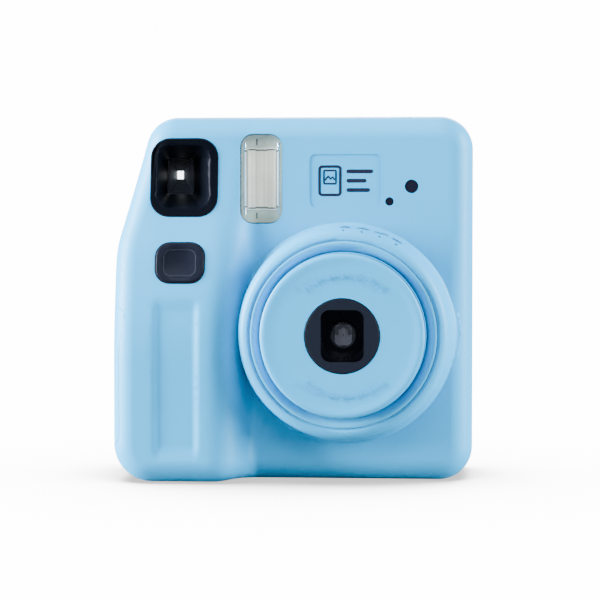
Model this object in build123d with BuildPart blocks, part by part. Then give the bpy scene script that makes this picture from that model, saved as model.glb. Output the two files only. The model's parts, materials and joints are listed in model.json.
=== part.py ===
"""Instant camera for 62 x 46 mm prints, built as an assembly of separate pieces. Units are millimetres.

+X is to the right of someone who faces the front of the camera, +Y runs from the lens to the back, +Z is up.
The origin is on the ground, under the middle of the width; the front panel is the plane y = FACE_Y.
"""

import os
from math import acos, atan2, cos, hypot, pi, radians, sin, tan

from build123d import *

# ---------------------------------------------------------------- driving dimensions
WIDTH = 119.0
HEIGHT = 121.5
FACE_Y = -20.0  # front panel
BACK_Y = 28.0  # back panel
PARTING_Y = 10.0  # where the front cover meets the rear cover
WALL = 2.2
GAP = 0.2  # between a cover and a piece set into it
FRONT_ROUND = 7.5
BACK_ROUND = 7.0

LENS_X = 17.2
LENS_Z = 49.3
LENS_FRONT = -39.0  # front of the lens disc when the lens is pushed in

FILM_Y = 14.45  # plane of the sheet behind the film gate
FILM_WIDTH = 54.0
FILM_HEIGHT = 86.0
FILM_THICK = 0.35
IMAGE_WIDTH = 46.0
IMAGE_HEIGHT = 62.0
PACK_WIDTH = 63.0
PACK_HEIGHT = 91.0
PACK_BOTTOM = 8.5
PACK_FRONT = 13.0
PACK_BACK = 26.4

FINDER_X = -38.8  # optical axis of the viewfinder
FINDER_Z = 101.8
FLASH_X = -10.9
FLASH_Z = 100.7
BUTTON_X = -37.1
BUTTON_Z = 72.8
CELL_RADIUS = 7.1  # AA cell
CELL_LENGTH = 50.5

GEAR_MODULE = 8.9 / 18
PRESSURE_ANGLE = radians(25)
BACKLASH = 0.12
FLANK_STEPS = 3
PINION_TEETH = 12
WHEEL_TEETH = 44
TRANSFER_TEETH = 36
ROLLER_TEETH = 18
MOTOR_CENTRE = (14.0, 74.0)  # y and z of each shaft of the film drive

PIECES = {}


def keep(name, part):
    """Registers a finished piece under the name of its node."""
    part.label = name
    PIECES[name] = part


def smooth(value, low, high):
    """0 below low, 1 above high, with a soft S-curve in between."""
    t = min(max((value - low) / (high - low), 0), 1)
    return t * t * (3 - 2 * t)


def involute(angle):
    return tan(angle) - angle


def apart(first_teeth, second_teeth):
    """Distance between the shafts of two gears in mesh."""
    return GEAR_MODULE * (first_teeth + second_teeth) / 2


def corner(first, second, from_first, from_second):
    """Corner of a triangle on two given points, on the left of the line from the first to the second."""
    dy = second[0] - first[0]
    dz = second[1] - first[1]
    length = hypot(dy, dz)
    along = (from_first**2 - from_second**2 + length**2) / (2 * length)
    aside = (from_first**2 - along**2) ** 0.5
    return (first[0] + (along * dy - aside * dz) / length, first[1] + (along * dz + aside * dy) / length)


# ---------------------------------------------------------------- planes and axes
LENS_AXIS = Axis((LENS_X, 0, LENS_Z), (0, 1, 0))
# Section through the lens axis: local x is the radius, local y is the camera's Y.
LENS_SECTION = Plane(origin=(LENS_X, 0, LENS_Z), x_dir=(1, 0, 0), z_dir=(0, 0, 1))


def facing(x, y, z, tilt=0.0):
    """Plane that faces the front at a point, with its normal tilted up by some degrees."""
    normal = (0, -cos(radians(tilt)), sin(radians(tilt)))
    return Plane(origin=(x, y, z), x_dir=(1, 0, 0), z_dir=normal)


def lens_plane(y):
    """Plane across the lens axis, facing the front."""
    return facing(LENS_X, y, LENS_Z)


def sideways(x, y, z):
    """Plane that faces +X at a point: local x is the camera's Y and local y is Z."""
    return Plane(origin=(x, y, z), x_dir=(0, 1, 0), z_dir=(1, 0, 0))


# ---------------------------------------------------------------- the moulded body form
CORNER_LOW_LEFT = 12.7
CORNER_LOW_RIGHT = 11.3
CORNER_TOP = 11.0
SHOULDER_Z = 77.3  # the left side leans in above this height
SHOULDER_RADIUS = 40.0
TOP_LEFT_X = -47.6
GRIP_RISE = 12.7  # how far the grip stands out of the front panel
GRIP_FADE = (40.0, 115.0)  # heights between which the grip melts into the panel
DIMPLE = 0.9  # finger recess in the grip
DIMPLE_X = (-46.5, -43.0, -33.0, -29.5)  # top and foot of its two slopes
DIMPLE_Z = (7.0, 62.0)
DIMPLE_RAMP = 6.0
FLANK_X = (-28.0, -15.5, -17.5, -12.0)  # from the crest of the grip down to the panel
HALVINGS = 40  # steps that find a place on a curve
FORM_LEFT = -66.0  # the front is a smooth surface through a grid of points
FORM_STEP_X = 1.5
FORM_COLUMNS = 89
FORM_LOW = -6.0
FORM_STEP_Z = 2.0
FORM_ROWS = 67
FORM_TOLERANCE = 0.02
BEYOND = 70.0  # clear of the outline on every side


def bulge(z):
    """How far the grip stands out at a height. It never quite reaches 0, so no two faces coincide."""
    return 0.3 + GRIP_RISE * (1 - smooth(z, *GRIP_FADE))


def dimple(z):
    rise = smooth(z, DIMPLE_Z[0], DIMPLE_Z[0] + DIMPLE_RAMP)
    fall = 1 - smooth(z, DIMPLE_Z[1] - DIMPLE_RAMP, DIMPLE_Z[1])
    return DIMPLE * min(rise, fall)


def outline(inset):
    """Front view of the body, drawn inside by an inset."""
    half = WIDTH / 2 - inset
    top = HEIGHT - inset
    corners = {
        (-half, inset): CORNER_LOW_LEFT - inset,
        (half, inset): CORNER_LOW_RIGHT - inset,
        (half, top): CORNER_TOP - inset,
        (TOP_LEFT_X + inset, top): CORNER_TOP - inset,
        (-half, SHOULDER_Z): SHOULDER_RADIUS,
    }
    with BuildSketch(Plane.XZ) as sketch:
        with BuildLine():
            Polyline(*corners, close=True)
        make_face()
        for (x, z), radius in corners.items():
            fillet(sketch.vertices().sort_by_distance((x, z, 0))[0], radius)
    return sketch.sketch


def slab(low, high, mode=Mode.ADD):
    """Block between two opposite corners, in the part being built."""
    size = [b - a for a, b in zip(low, high)]
    with Locations(tuple((a + b) / 2 for a, b in zip(low, high))):
        Box(*size, mode=mode)


def along(x, places):
    """Share of the way, 0 to 1, that a cubic curve level at both ends has fallen or risen at x."""
    start, pull, foot, end = places
    low, high = 0.0, 1.0
    for _ in range(HALVINGS):
        t = (low + high) / 2
        reached = start * (1 - t) ** 3 + 3 * pull * t * (1 - t) ** 2 + 3 * foot * t**2 * (1 - t) + end * t**3
        if reached < x:
            low = t
        else:
            high = t
    return smooth(low, 0, 1)


def front_y(x, z, inset):
    """Front of the body: grip with its finger recess, flank, and flat front panel."""
    left, floor_left, floor_right, right = DIMPLE_X
    ease = (floor_left - left) / 2
    top, *lower = FLANK_X
    into = along(x, (left, left + ease, left + ease, floor_left))
    out = along(x, (floor_right, floor_right + ease, floor_right + ease, right))
    panel = along(x, (top, *(place - inset for place in lower)))
    return FACE_Y + inset - bulge(z) * (1 - panel) + dimple(z) * (into - out)


def body_form(inset):
    """The closed outer form of both covers, or the hollow inside them when drawn inside by the wall."""
    columns = [FORM_LEFT + FORM_STEP_X * index for index in range(FORM_COLUMNS)]
    rows = [FORM_LOW + FORM_STEP_Z * index for index in range(FORM_ROWS)]
    grid = [[Vector(x, front_y(x, z, inset), z) for z in rows] for x in columns]
    front = Face.make_surface_from_array_of_points(grid, tol=FORM_TOLERANCE, min_deg=1, max_deg=3)
    with BuildPart() as form:
        extrude(front, amount=BEYOND, dir=(0, 1, 0))
        slab((-BEYOND, BACK_Y - inset, -BEYOND), (BEYOND, BACK_Y + BEYOND, HEIGHT + BEYOND), Mode.SUBTRACT)
        extrude(outline(inset), amount=BEYOND, both=True, mode=Mode.INTERSECT)
        sides = form.faces().filter_by(lambda face: abs(face.normal_at().Y) < 1e-3)
        rims = ShapeList([edge for face in sides for edge in face.edges()])
        fillet(rims.filter_by(lambda edge: edge.center().Y > BACK_Y - inset - 0.5), BACK_ROUND - inset)
        sides = form.faces().filter_by(lambda face: abs(face.normal_at().Y) < 1e-3)
        rims = ShapeList([edge for face in sides for edge in face.edges()])
        fillet(rims.filter_by(lambda edge: edge.center().Y < FACE_Y / 2), FRONT_ROUND - inset)
    return form.part


OUTER = body_form(0)
INNER = body_form(WALL)


# ---------------------------------------------------------------- lens surround and its bores
DIAL_BORE = 31.25
DIAL_SEAT_Y = -23.0
BARREL_BORE = 27.6
SURROUND_FRONT = -32.2
SURROUND_FOOT = 38.4
LAMP_ANGLES = (0, 10, 20, 30)  # clockwise from the top, seen from the front
LAMP_RADIUS = 0.55
LAMP_Y = -30.4
LAMP_REACH = (31.6, 33.9)

FIT = 0.02  # a pin that stays put in its hole


def lamp_point(angle, radius):
    """Point above the lens axis at an angle clockwise from the top, in the plane of the lamps."""
    return (LENS_X + radius * sin(radians(angle)), LAMP_Y, LENS_Z + radius * cos(radians(angle)))


with BuildPart() as lens_surround_ring:
    with BuildSketch(LENS_SECTION):
        with BuildLine():
            Bezier((SURROUND_FOOT, FACE_Y + 0.1), (36.6, FACE_Y), (36.0, -21.0), (35.7, -23.0))
            Line((35.7, -23.0), (34.9, -28.4))
            Bezier((34.9, -28.4), (34.5, -31.2), (33.4, SURROUND_FRONT), (DIAL_BORE, SURROUND_FRONT))
            Polyline(
                (DIAL_BORE, SURROUND_FRONT),
                (DIAL_BORE, DIAL_SEAT_Y),
                (BARREL_BORE, DIAL_SEAT_Y),
                (BARREL_BORE, FACE_Y + WALL),
                (SURROUND_FOOT, FACE_Y + WALL),
                (SURROUND_FOOT, FACE_Y + 0.1),
            )
        make_face()
    revolve(axis=LENS_AXIS)

# ---------------------------------------------------------------- battery door opening, on the grip's side
BATTERY_DOOR_Y = (-31.1, 7.8)
BATTERY_DOOR_Z = (12.0, 58.5)
BATTERY_DOOR_CORNER = 4.0
BATTERY_DOOR_DEPTH = 4.5  # the door wraps round the front corner of the grip
BATTERY_PIN_RADIUS = 0.6
BATTERY_PIN_X = -WIDTH / 2 + WALL / 2
BATTERY_PIN_Y = BATTERY_DOOR_Y[1] - WALL / 2 - GAP
BATTERY_PIN_Z = (BATTERY_DOOR_Z[0] - 1, BATTERY_DOOR_Z[1] + 2)
HINGE_RELIEF_Y = BATTERY_PIN_Y - WALL / 2  # square corners beside the knuckle let the open door pass


def battery_door_cutter(shrink):
    """Side-view outline of the battery door, as a block through the left wall."""
    low_y, high_y = BATTERY_DOOR_Y
    low_z, high_z = BATTERY_DOOR_Z
    middle = sideways(-WIDTH / 2 - 3, (low_y + high_y) / 2, (low_z + high_z) / 2)
    with BuildPart() as cutter:
        with BuildSketch(middle):
            RectangleRounded(
                high_y - low_y - 2 * shrink, high_z - low_z - 2 * shrink, BATTERY_DOOR_CORNER - shrink
            )
        extrude(amount=3 + BATTERY_DOOR_DEPTH - shrink)
    return cutter.part


# ---------------------------------------------------------------- openings in the front panel
FINDER_BEZEL = (22.1, 25.7, 6.2)
FINDER_BEZEL_X = -36.4
FINDER_BEZEL_Z = 101.1
FINDER_TILT = 8.2
FLASH_WINDOW = (13.9, 29.5, 4.3)
BUTTON_SIZE = (15.9, 13.3, 4.6)
BUTTON_TILT = 14.0
FLASH_SENSOR = (39.2, 98.1, 2.15)
LIGHT_SENSOR = (31.9, 93.1, 1.3)
SENSOR_BRIDGE_Z = (93.6, 97.4)  # the web that joins the two windows into one moulding
STRAP_Z = 98.0
STRAP_Y = -4.0
STRAP_POCKET = (9.0, 15.0, 6.0)  # length in Y, height, depth
STRAP_BAR_RADIUS = 1.25
CASE_SCREWS = ((53.6, 8.4), (53.6, 113.4), (-22.0, 115.3), (-22.0, 6.2), (-52.0, 66.0))
BOSS_RADIUS = 2.7
BADGE_RECESS = (24.0, 17.5, 2.0)
BADGE_Z = 100.0
BADGE_DEPTH = 0.25

BUTTON_Y = FACE_Y - bulge(BUTTON_Z)
POSTS = ((-11.0, 12.0), (45.0, 12.0), (45.0, 88.0), (-11.0, 82.0))  # chassis fixings
POST_RADIUS = 2.5
POST_END = 10.7
finder_face = facing(FINDER_BEZEL_X, -22.3, FINDER_BEZEL_Z, FINDER_TILT)
button_face = facing(BUTTON_X, BUTTON_Y, BUTTON_Z, BUTTON_TILT)
strap_wall = sideways(WIDTH / 2, STRAP_Y, STRAP_Z)
strap_bar_half = STRAP_POCKET[1] / 2 + 0.9
STRAP_BAR_LOW = (WIDTH / 2 - 2.2, STRAP_Y, STRAP_Z - strap_bar_half)
STRAP_BAR_HIGH = (WIDTH / 2 - 2.2, STRAP_Y, STRAP_Z + strap_bar_half)
BATTERY_PIN_LOW = (BATTERY_PIN_X, BATTERY_PIN_Y, BATTERY_PIN_Z[0])
BATTERY_PIN_HIGH = (BATTERY_PIN_X, BATTERY_PIN_Y, BATTERY_PIN_Z[1])
BUTTON_GAP = 0.35
SWITCH_POST_X = 11.2
SWITCH_BOARD_DEPTH = 11.6


def button_point(x, y, depth):
    """Point in the shutter button's own frame: right, up the grip, and in along its travel."""
    return button_face.from_local_coords((x, y, -depth))


def prism(plane, size, grow, depth, ahead=15.0):
    """Rounded-rectangle block along a plane's normal, from ahead of the plane to a depth behind it."""
    width, height, corner = size
    with BuildPart() as block_part:
        with BuildSketch(plane.offset(-depth)):
            RectangleRounded(width + 2 * grow, height + 2 * grow, corner + grow)
        extrude(amount=depth + ahead)
    return block_part.part


def rod(start, end, radius, mode=Mode.ADD):
    """Round bar between two points, in the part being built."""
    axis = Vector(end) - Vector(start)
    with Locations(Plane(origin=start, z_dir=axis)):
        Cylinder(radius, axis.length, align=(Align.CENTER, Align.CENTER, Align.MIN), mode=mode)


def turned(points):
    """Ring or disc turned about the lens axis from its half section; each point is (radius, y)."""
    with BuildPart() as piece:
        with BuildSketch(LENS_SECTION):
            with BuildLine():
                Polyline(*points, close=True)
            make_face()
        revolve(axis=LENS_AXIS)
    return piece.part


def coil(start, end, radius, wire, turns):
    """Open coil spring between two points."""
    along = Vector(end) - Vector(start)
    with BuildPart() as spring:
        with BuildLine():
            path = Helix(along.length / turns, along.length, radius, center=start, direction=along)
        with BuildSketch(Plane(origin=path @ 0, z_dir=path % 0)):
            Circle(wire)
        sweep()
    return spring.part


def through(points, radius, front):
    """Round posts along Y from a plane forward, ending on the inside of the outer form."""
    with BuildPart() as posts:
        with BuildSketch(Plane.XZ.offset(-front)):
            with Locations(*points):
                Circle(radius)
        extrude(amount=BEYOND)
        add(OUTER, mode=Mode.INTERSECT)
    return posts.part


# ---------------------------------------------------------------- covers
front_half = Plane.XZ.offset(-PARTING_Y)
SEAM = 0.25  # bevel along the line where the covers meet


def shell(side):
    """One half of the hollow body, with a fine bevel along the parting line."""
    with BuildPart() as half:
        add(OUTER)
        split(bisect_by=front_half, keep=side)
        rim = half.faces().filter_by(lambda face: abs(face.center().Y - PARTING_Y) < 1e-3)
        chamfer(rim.edges(), SEAM)
        add(INNER, mode=Mode.SUBTRACT)
    return half.part


with BuildPart() as front_cover:
    add(shell(Keep.TOP))
    add(lens_surround_ring.part)
    add(through(CASE_SCREWS, BOSS_RADIUS, PARTING_Y))
    add(through(POSTS, POST_RADIUS, POST_END))
    for x, z in CASE_SCREWS:
        rod((x, PARTING_Y, z), (x, PARTING_Y - 14, z), 1.0, Mode.SUBTRACT)
    for x, z in POSTS:
        rod((x, POST_END, z), (x, 0, z), 1.0, Mode.SUBTRACT)
    # bores of the dial and the lens barrel
    rod((LENS_X, DIAL_SEAT_Y, LENS_Z), (LENS_X, DIAL_SEAT_Y - 20, LENS_Z), DIAL_BORE, Mode.SUBTRACT)
    rod((LENS_X, 0, LENS_Z), (LENS_X, -40, LENS_Z), BARREL_BORE, Mode.SUBTRACT)
    # strap pocket: a closed cup behind the right-hand wall, its hollow, and the seats of its bar
    pocket_length, pocket_height, pocket_depth = STRAP_POCKET
    with BuildSketch(strap_wall.offset(-WALL / 2)):
        RectangleRounded(pocket_length + 2, pocket_height + 2, 3)
    extrude(amount=-(pocket_depth + 1 - WALL / 2))
    with BuildSketch(strap_wall.offset(1)):
        RectangleRounded(pocket_length, pocket_height, 2.5)
    extrude(amount=-(pocket_depth + 1), mode=Mode.SUBTRACT)
    rod(STRAP_BAR_LOW, STRAP_BAR_HIGH, STRAP_BAR_RADIUS + FIT, Mode.SUBTRACT)
    # openings in the front
    add(prism(finder_face, FINDER_BEZEL, GAP, 14), mode=Mode.SUBTRACT)
    add(prism(facing(FLASH_X, FACE_Y, FLASH_Z), FLASH_WINDOW, GAP, 5), mode=Mode.SUBTRACT)
    add(prism(button_face, BUTTON_SIZE, BUTTON_GAP, 6), mode=Mode.SUBTRACT)
    for x, z, radius in (FLASH_SENSOR, LIGHT_SENSOR):
        rod((x, FACE_Y + 5, z), (x, FACE_Y - 3, z), radius + 0.1, Mode.SUBTRACT)
    add(prism(facing(LENS_X, FACE_Y, BADGE_Z), BADGE_RECESS, 0, BADGE_DEPTH), mode=Mode.SUBTRACT)
    for angle in LAMP_ANGLES:
        rod(lamp_point(angle, LAMP_REACH[0] - 2), lamp_point(angle, 45), LAMP_RADIUS + 0.05, Mode.SUBTRACT)
    # battery door opening and the hole of its hinge pin, and posts for the shutter switch
    add(battery_door_cutter(0), mode=Mode.SUBTRACT)
    slab(
        (-BEYOND, HINGE_RELIEF_Y, BATTERY_DOOR_Z[0]),
        (BATTERY_PIN_X, BATTERY_DOOR_Y[1], BATTERY_DOOR_Z[1]),
        Mode.SUBTRACT,
    )
    rod(BATTERY_PIN_LOW, BATTERY_PIN_HIGH, BATTERY_PIN_RADIUS + FIT, Mode.SUBTRACT)
    for x in (-SWITCH_POST_X, SWITCH_POST_X):
        rod(button_point(x, 0, WALL / 2), button_point(x, 0, SWITCH_BOARD_DEPTH), 1.5)
keep("front_cover", front_cover.part)


HINGE_X = 51.2  # film door hinge, a vertical pin at the right of the back
HINGE_Y = 29.6
HINGE_Z = (14.0, 104.0)
HINGE_RADIUS = 1.9
HINGE_LUG = 5.8  # length of the cover's lug at each end of the hinge
HINGE_PIN_RADIUS = 0.9
RUN = 0.06  # radial play of a pin that turns
CHAMBER = ((-18.5, 49.2), (7.5, 100.5))  # film chamber opening in the back: x and z
HOOK_NOTCH = (-20.6, 55.5, 60.5)
EYEPIECE = (13.0, 11.0, 3.0)
COUNTER_X = -38.0
COUNTER_Z = 20.0
COUNTER_RADIUS = 9.0
COUNTER_WINDOW = (7.0, 6.0, 1.5)
COUNTER_WINDOW_Z = 26.5
LATCH_X = -25.8
LATCH_Z = 58.0
LATCH_TRAVEL = 4.0
LATCH_SLOT = (2.6, 14.0)
LATCH_SPRING_X = -24.5
LATCH_SPRING_Y = 24.6
LATCH_RIB_Z = 76.0
EXIT_SLOT = (57.0, 2.4)
INSIDE_BACK = BACK_Y - WALL


def behind(x, z, y=BACK_Y):
    """Plane facing the back at a point; local x runs to the camera's -X."""
    return Plane(origin=(x, y, z), x_dir=(-1, 0, 0), z_dir=(0, 1, 0))


def back_prism(x, z, size, low, high):
    """Rounded-rectangle block along Y at a point of the back, from y = low to y = high."""
    with BuildPart() as piece:
        with BuildSketch(behind(x, z, low)):
            RectangleRounded(*size)
        extrude(amount=high - low)
    return piece.part


with BuildPart() as rear_bosses:
    with BuildSketch(Plane.XZ.offset(-PARTING_Y)):
        with Locations(*CASE_SCREWS):
            Circle(BOSS_RADIUS + 0.5)
    extrude(amount=-BEYOND)
    add(OUTER, mode=Mode.INTERSECT)

SCREW_HEAD_Y = 24.0

with BuildPart() as rear_cover:
    add(shell(Keep.BOTTOM))
    add(rear_bosses.part)
    for x, z in CASE_SCREWS:
        rod((x, 0, z), (x, 40, z), 1.15, Mode.SUBTRACT)
        rod((x, SCREW_HEAD_Y, z), (x, 40, z), 2.2, Mode.SUBTRACT)
    # hinge: a groove for the door's knuckle between two lugs
    hinge_low, hinge_high = HINGE_Z
    rod((HINGE_X, HINGE_Y, hinge_low), (HINGE_X, HINGE_Y, hinge_high), HINGE_RADIUS)
    slab((HINGE_X - HINGE_RADIUS, INSIDE_BACK, hinge_low), (HINGE_X + HINGE_RADIUS, HINGE_Y, hinge_high))
    knuckle_low = (HINGE_X, HINGE_Y, hinge_low + HINGE_LUG)
    knuckle_high = (HINGE_X, HINGE_Y, hinge_high - HINGE_LUG)
    rod(knuckle_low, knuckle_high, HINGE_RADIUS + 0.3, Mode.SUBTRACT)
    slab(
        (HINGE_X - HINGE_RADIUS - 1, BACK_Y, knuckle_low[2]),
        (HINGE_X + HINGE_RADIUS + 1, HINGE_Y + 3, knuckle_high[2]),
        Mode.SUBTRACT,
    )
    rod((HINGE_X, HINGE_Y, hinge_low + 0.5), (HINGE_X, HINGE_Y, hinge_high - 0.5), 0.92, Mode.SUBTRACT)
    # film chamber, with a notch for the door's hook
    (chamber_left, chamber_right), (chamber_low, chamber_high) = CHAMBER
    slab((chamber_left, PARTING_Y, chamber_low), (chamber_right, HINGE_Y, chamber_high), Mode.SUBTRACT)
    notch_left, notch_low, notch_high = HOOK_NOTCH
    slab((notch_left, PARTING_Y, notch_low), (chamber_left, HINGE_Y, notch_high), Mode.SUBTRACT)
    # eyepiece, counter window, latch slot and print exit slot
    add(back_prism(FINDER_X, FINDER_Z, EYEPIECE, 20, 32), mode=Mode.SUBTRACT)
    add(back_prism(COUNTER_X, COUNTER_WINDOW_Z, COUNTER_WINDOW, 20, 32), mode=Mode.SUBTRACT)
    latch_width, latch_height = LATCH_SLOT
    add(back_prism(LATCH_X, LATCH_Z + LATCH_TRAVEL / 2, (latch_width, latch_height, 1.2), 20, 32), mode=Mode.SUBTRACT)
    with BuildSketch(Plane(origin=(LENS_X, FILM_Y, HEIGHT - 4))):
        RectangleRounded(*EXIT_SLOT, EXIT_SLOT[1] / 2 - 0.01)
    extrude(amount=8, mode=Mode.SUBTRACT)
    # stub axle of the counter dial and the stop of the latch spring
    rod((COUNTER_X, INSIDE_BACK + 0.2, COUNTER_Z), (COUNTER_X, 22.6, COUNTER_Z), 1.0)
    slab((LATCH_X + 0.4, 23.4, LATCH_RIB_Z), (LATCH_X + 3, INSIDE_BACK + 0.2, LATCH_RIB_Z + 1.5))
keep("rear_cover", rear_cover.part)

# ---------------------------------------------------------------- battery door and strap bar
PANEL_GAP = 0.15
with BuildPart() as battery_door:
    add(OUTER)
    add(INNER, mode=Mode.SUBTRACT)
    add(battery_door_cutter(PANEL_GAP), mode=Mode.INTERSECT)
    slab((-BEYOND, BATTERY_PIN_Y, 0), (0, BATTERY_PIN_Y + 10, HEIGHT), Mode.SUBTRACT)
    door_knuckle = [BATTERY_DOOR_Z[0] + BATTERY_DOOR_CORNER, BATTERY_DOOR_Z[1] - BATTERY_DOOR_CORNER]
    knuckle_ends = [(BATTERY_PIN_X, BATTERY_PIN_Y, z) for z in door_knuckle]
    rod(*knuckle_ends, WALL / 2)
    rod(BATTERY_PIN_LOW, BATTERY_PIN_HIGH, BATTERY_PIN_RADIUS + RUN, Mode.SUBTRACT)
keep("battery_door", battery_door.part)

with BuildPart() as battery_door_pin:
    rod(BATTERY_PIN_LOW, BATTERY_PIN_HIGH, BATTERY_PIN_RADIUS)
keep("battery_door_pin", battery_door_pin.part)

with BuildPart() as strap_bar:
    rod(STRAP_BAR_LOW, STRAP_BAR_HIGH, STRAP_BAR_RADIUS)
keep("strap_bar", strap_bar.part)

# ---------------------------------------------------------------- film door with its hinge, latch and springs
DOOR_LEFT = -22.0
DOOR_RIGHT = 49.0
DOOR_Z = (5.4, 112.6)
DOOR_INNER = BACK_Y + 0.05
DOOR_OUTER = BACK_Y + 2.2
DOOR_RAISED = (54.0, 84.0, 9.0)
DOOR_BULGE = 1.3
DOOR_MIDDLE_Z = (DOOR_Z[0] + DOOR_Z[1]) / 2
FILM_CHECK = (4.6, 22.0, 2.2)
FILM_CHECK_X = -7.0
FILM_CHECK_Z = 34.0
HOOK = (-20.2, -18.2, -17.2)  # toe, back and shank of the door's hook
HOOK_Z = (56.0, 60.0)
HOOK_TOE_Y = (22.8, 24.1)

with BuildPart() as film_door:
    door_size = (DOOR_RIGHT - DOOR_LEFT, DOOR_Z[1] - DOOR_Z[0], 4)
    add(back_prism((DOOR_LEFT + DOOR_RIGHT) / 2, DOOR_MIDDLE_Z, door_size, DOOR_INNER, DOOR_OUTER))
    fillet(film_door.faces().sort_by(Axis.Y)[-1].edges(), 0.8)
    add(back_prism(LENS_X - 2, DOOR_MIDDLE_Z, DOOR_RAISED, DOOR_INNER + 0.5, DOOR_OUTER + DOOR_BULGE))
    fillet(film_door.faces().sort_by(Axis.Y)[-1].edges(), 1.2)
    rod((HINGE_X, HINGE_Y, knuckle_low[2] + GAP), (HINGE_X, HINGE_Y, knuckle_high[2] - GAP), HINGE_RADIUS)
    slab(
        (DOOR_RIGHT - 2, DOOR_INNER, knuckle_low[2] + GAP),
        (HINGE_X, DOOR_OUTER - 0.3, knuckle_high[2] - GAP),
    )
    rod((HINGE_X, HINGE_Y, 0), (HINGE_X, HINGE_Y, HEIGHT), HINGE_PIN_RADIUS + RUN, Mode.SUBTRACT)
    add(
        back_prism(FILM_CHECK_X, FILM_CHECK_Z, FILM_CHECK, DOOR_INNER - 1, DOOR_OUTER + 3),
        mode=Mode.SUBTRACT,
    )
    hook_toe, hook_back, hook_shank = HOOK
    slab((hook_back, HOOK_TOE_Y[0], HOOK_Z[0]), (hook_shank, DOOR_INNER + 0.2, HOOK_Z[1]))
    slab((hook_toe, HOOK_TOE_Y[0], HOOK_Z[0]), (hook_shank, HOOK_TOE_Y[1], HOOK_Z[1]))
keep("film_door", film_door.part)

with BuildPart() as film_door_hinge_pin:
    rod((HINGE_X, HINGE_Y, hinge_low + 0.5), (HINGE_X, HINGE_Y, hinge_high - 0.5), HINGE_PIN_RADIUS)
keep("film_door_hinge_pin", film_door_hinge_pin.part)

film_check_size = (FILM_CHECK[0] - 2 * 0.1, FILM_CHECK[1] - 2 * 0.1, FILM_CHECK[2] - 0.1)
film_check_window = back_prism(FILM_CHECK_X, FILM_CHECK_Z, film_check_size, DOOR_INNER, DOOR_OUTER)
keep("film_check_window", film_check_window)

SEAL_WIDTH = 1.5
with BuildPart() as door_light_seal:
    seal_low = (chamber_left + 1.6, DOOR_INNER - 0.9, chamber_low + 0.8)
    seal_high = (chamber_right - 0.8, DOOR_INNER, chamber_high - 0.8)
    slab(seal_low, seal_high)
    slab(
        (seal_low[0] + SEAL_WIDTH, 0, seal_low[2] + SEAL_WIDTH),
        (seal_high[0] - SEAL_WIDTH, HINGE_Y, seal_high[2] - SEAL_WIDTH),
        Mode.SUBTRACT,
    )
keep("door_light_seal", door_light_seal.part)

PRESSURE_SPRING_Z = (34.0, 76.0)
PRESSURE_SPRING_HALF = 16.0
with BuildPart() as door_pressure_springs:
    for z in PRESSURE_SPRING_Z:
        with BuildSketch(Plane.XY.offset(z - 4)):
            with BuildLine():
                bow = ThreePointArc(
                    (LENS_X - PRESSURE_SPRING_HALF, DOOR_INNER - 0.2),
                    (LENS_X, PACK_BACK + 0.3),
                    (LENS_X + PRESSURE_SPRING_HALF, DOOR_INNER - 0.2),
                )
                offset(bow, amount=0.15, side=Side.BOTH)
            make_face()
        extrude(amount=8)
keep("door_pressure_springs", door_pressure_springs.part)

LATCH_KNOB = (6.4, 16.0, 2.6)
with BuildPart() as door_latch:
    add(back_prism(LATCH_X, LATCH_Z, LATCH_KNOB, BACK_Y + 0.1, BACK_Y + 2.2))
    fillet(door_latch.faces().sort_by(Axis.Y)[-1].edges(), 0.6)
    for step in range(-2, 3):
        groove = LATCH_Z + 2 * step
        slab((LATCH_X - 2, BACK_Y + 1.8, groove - 0.4), (LATCH_X + 2, BACK_Y + 3, groove + 0.4), Mode.SUBTRACT)
    slab((LATCH_X - 1.2, 25.0, LATCH_Z - 4.2), (LATCH_X + 1.2, BACK_Y + 0.6, LATCH_Z + 4.2))
    slab((LATCH_X - 3.2, 24.3, LATCH_Z - 8), (LATCH_X + 3.8, 25.6, LATCH_Z + 8))
    slab((LATCH_X + 3, 24.3, LATCH_Z - 1.8), (hook_back - 0.6, 25.6, LATCH_Z + 1.8))
keep("door_latch", door_latch.part)

latch_spring_start = (LATCH_SPRING_X, LATCH_SPRING_Y, LATCH_Z + 8.3)
latch_spring_end = (LATCH_SPRING_X, LATCH_SPRING_Y, LATCH_RIB_Z - 0.3)
keep("latch_spring", coil(latch_spring_start, latch_spring_end, 0.8, 0.12, 6))

with BuildPart() as counter_dial:
    rod((COUNTER_X, 24.6, COUNTER_Z), (COUNTER_X, 23.2, COUNTER_Z), COUNTER_RADIUS)
    rod((COUNTER_X, INSIDE_BACK, COUNTER_Z), (COUNTER_X, 20, COUNTER_Z), 1.0 + RUN, Mode.SUBTRACT)
keep("counter_dial", counter_dial.part)

counter_size = (COUNTER_WINDOW[0] - 0.2, COUNTER_WINDOW[1] - 0.2, COUNTER_WINDOW[2] - 0.1)
counter_window = back_prism(COUNTER_X, COUNTER_WINDOW_Z, counter_size, INSIDE_BACK, BACK_Y - 0.1)
keep("counter_window", counter_window)

# ---------------------------------------------------------------- lens: everything that slides out together
DISC_RADIUS = 26.8
DISC_THICK = 3.0
BARREL_RADIUS = 26.0
BARREL_BACK = -7.5
HOOD_RADIUS = 12.3
HOOD_OPENING = (14.1, 17.0, 3.0)
RECESS_RADIUS = 7.7
LENS_HALF = 4.9
disc_back = LENS_FRONT + DISC_THICK
web_y = disc_back + 2.2
plate_y = disc_back + 8.4  # shutter plate
rear_lens_y = plate_y + 4

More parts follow.
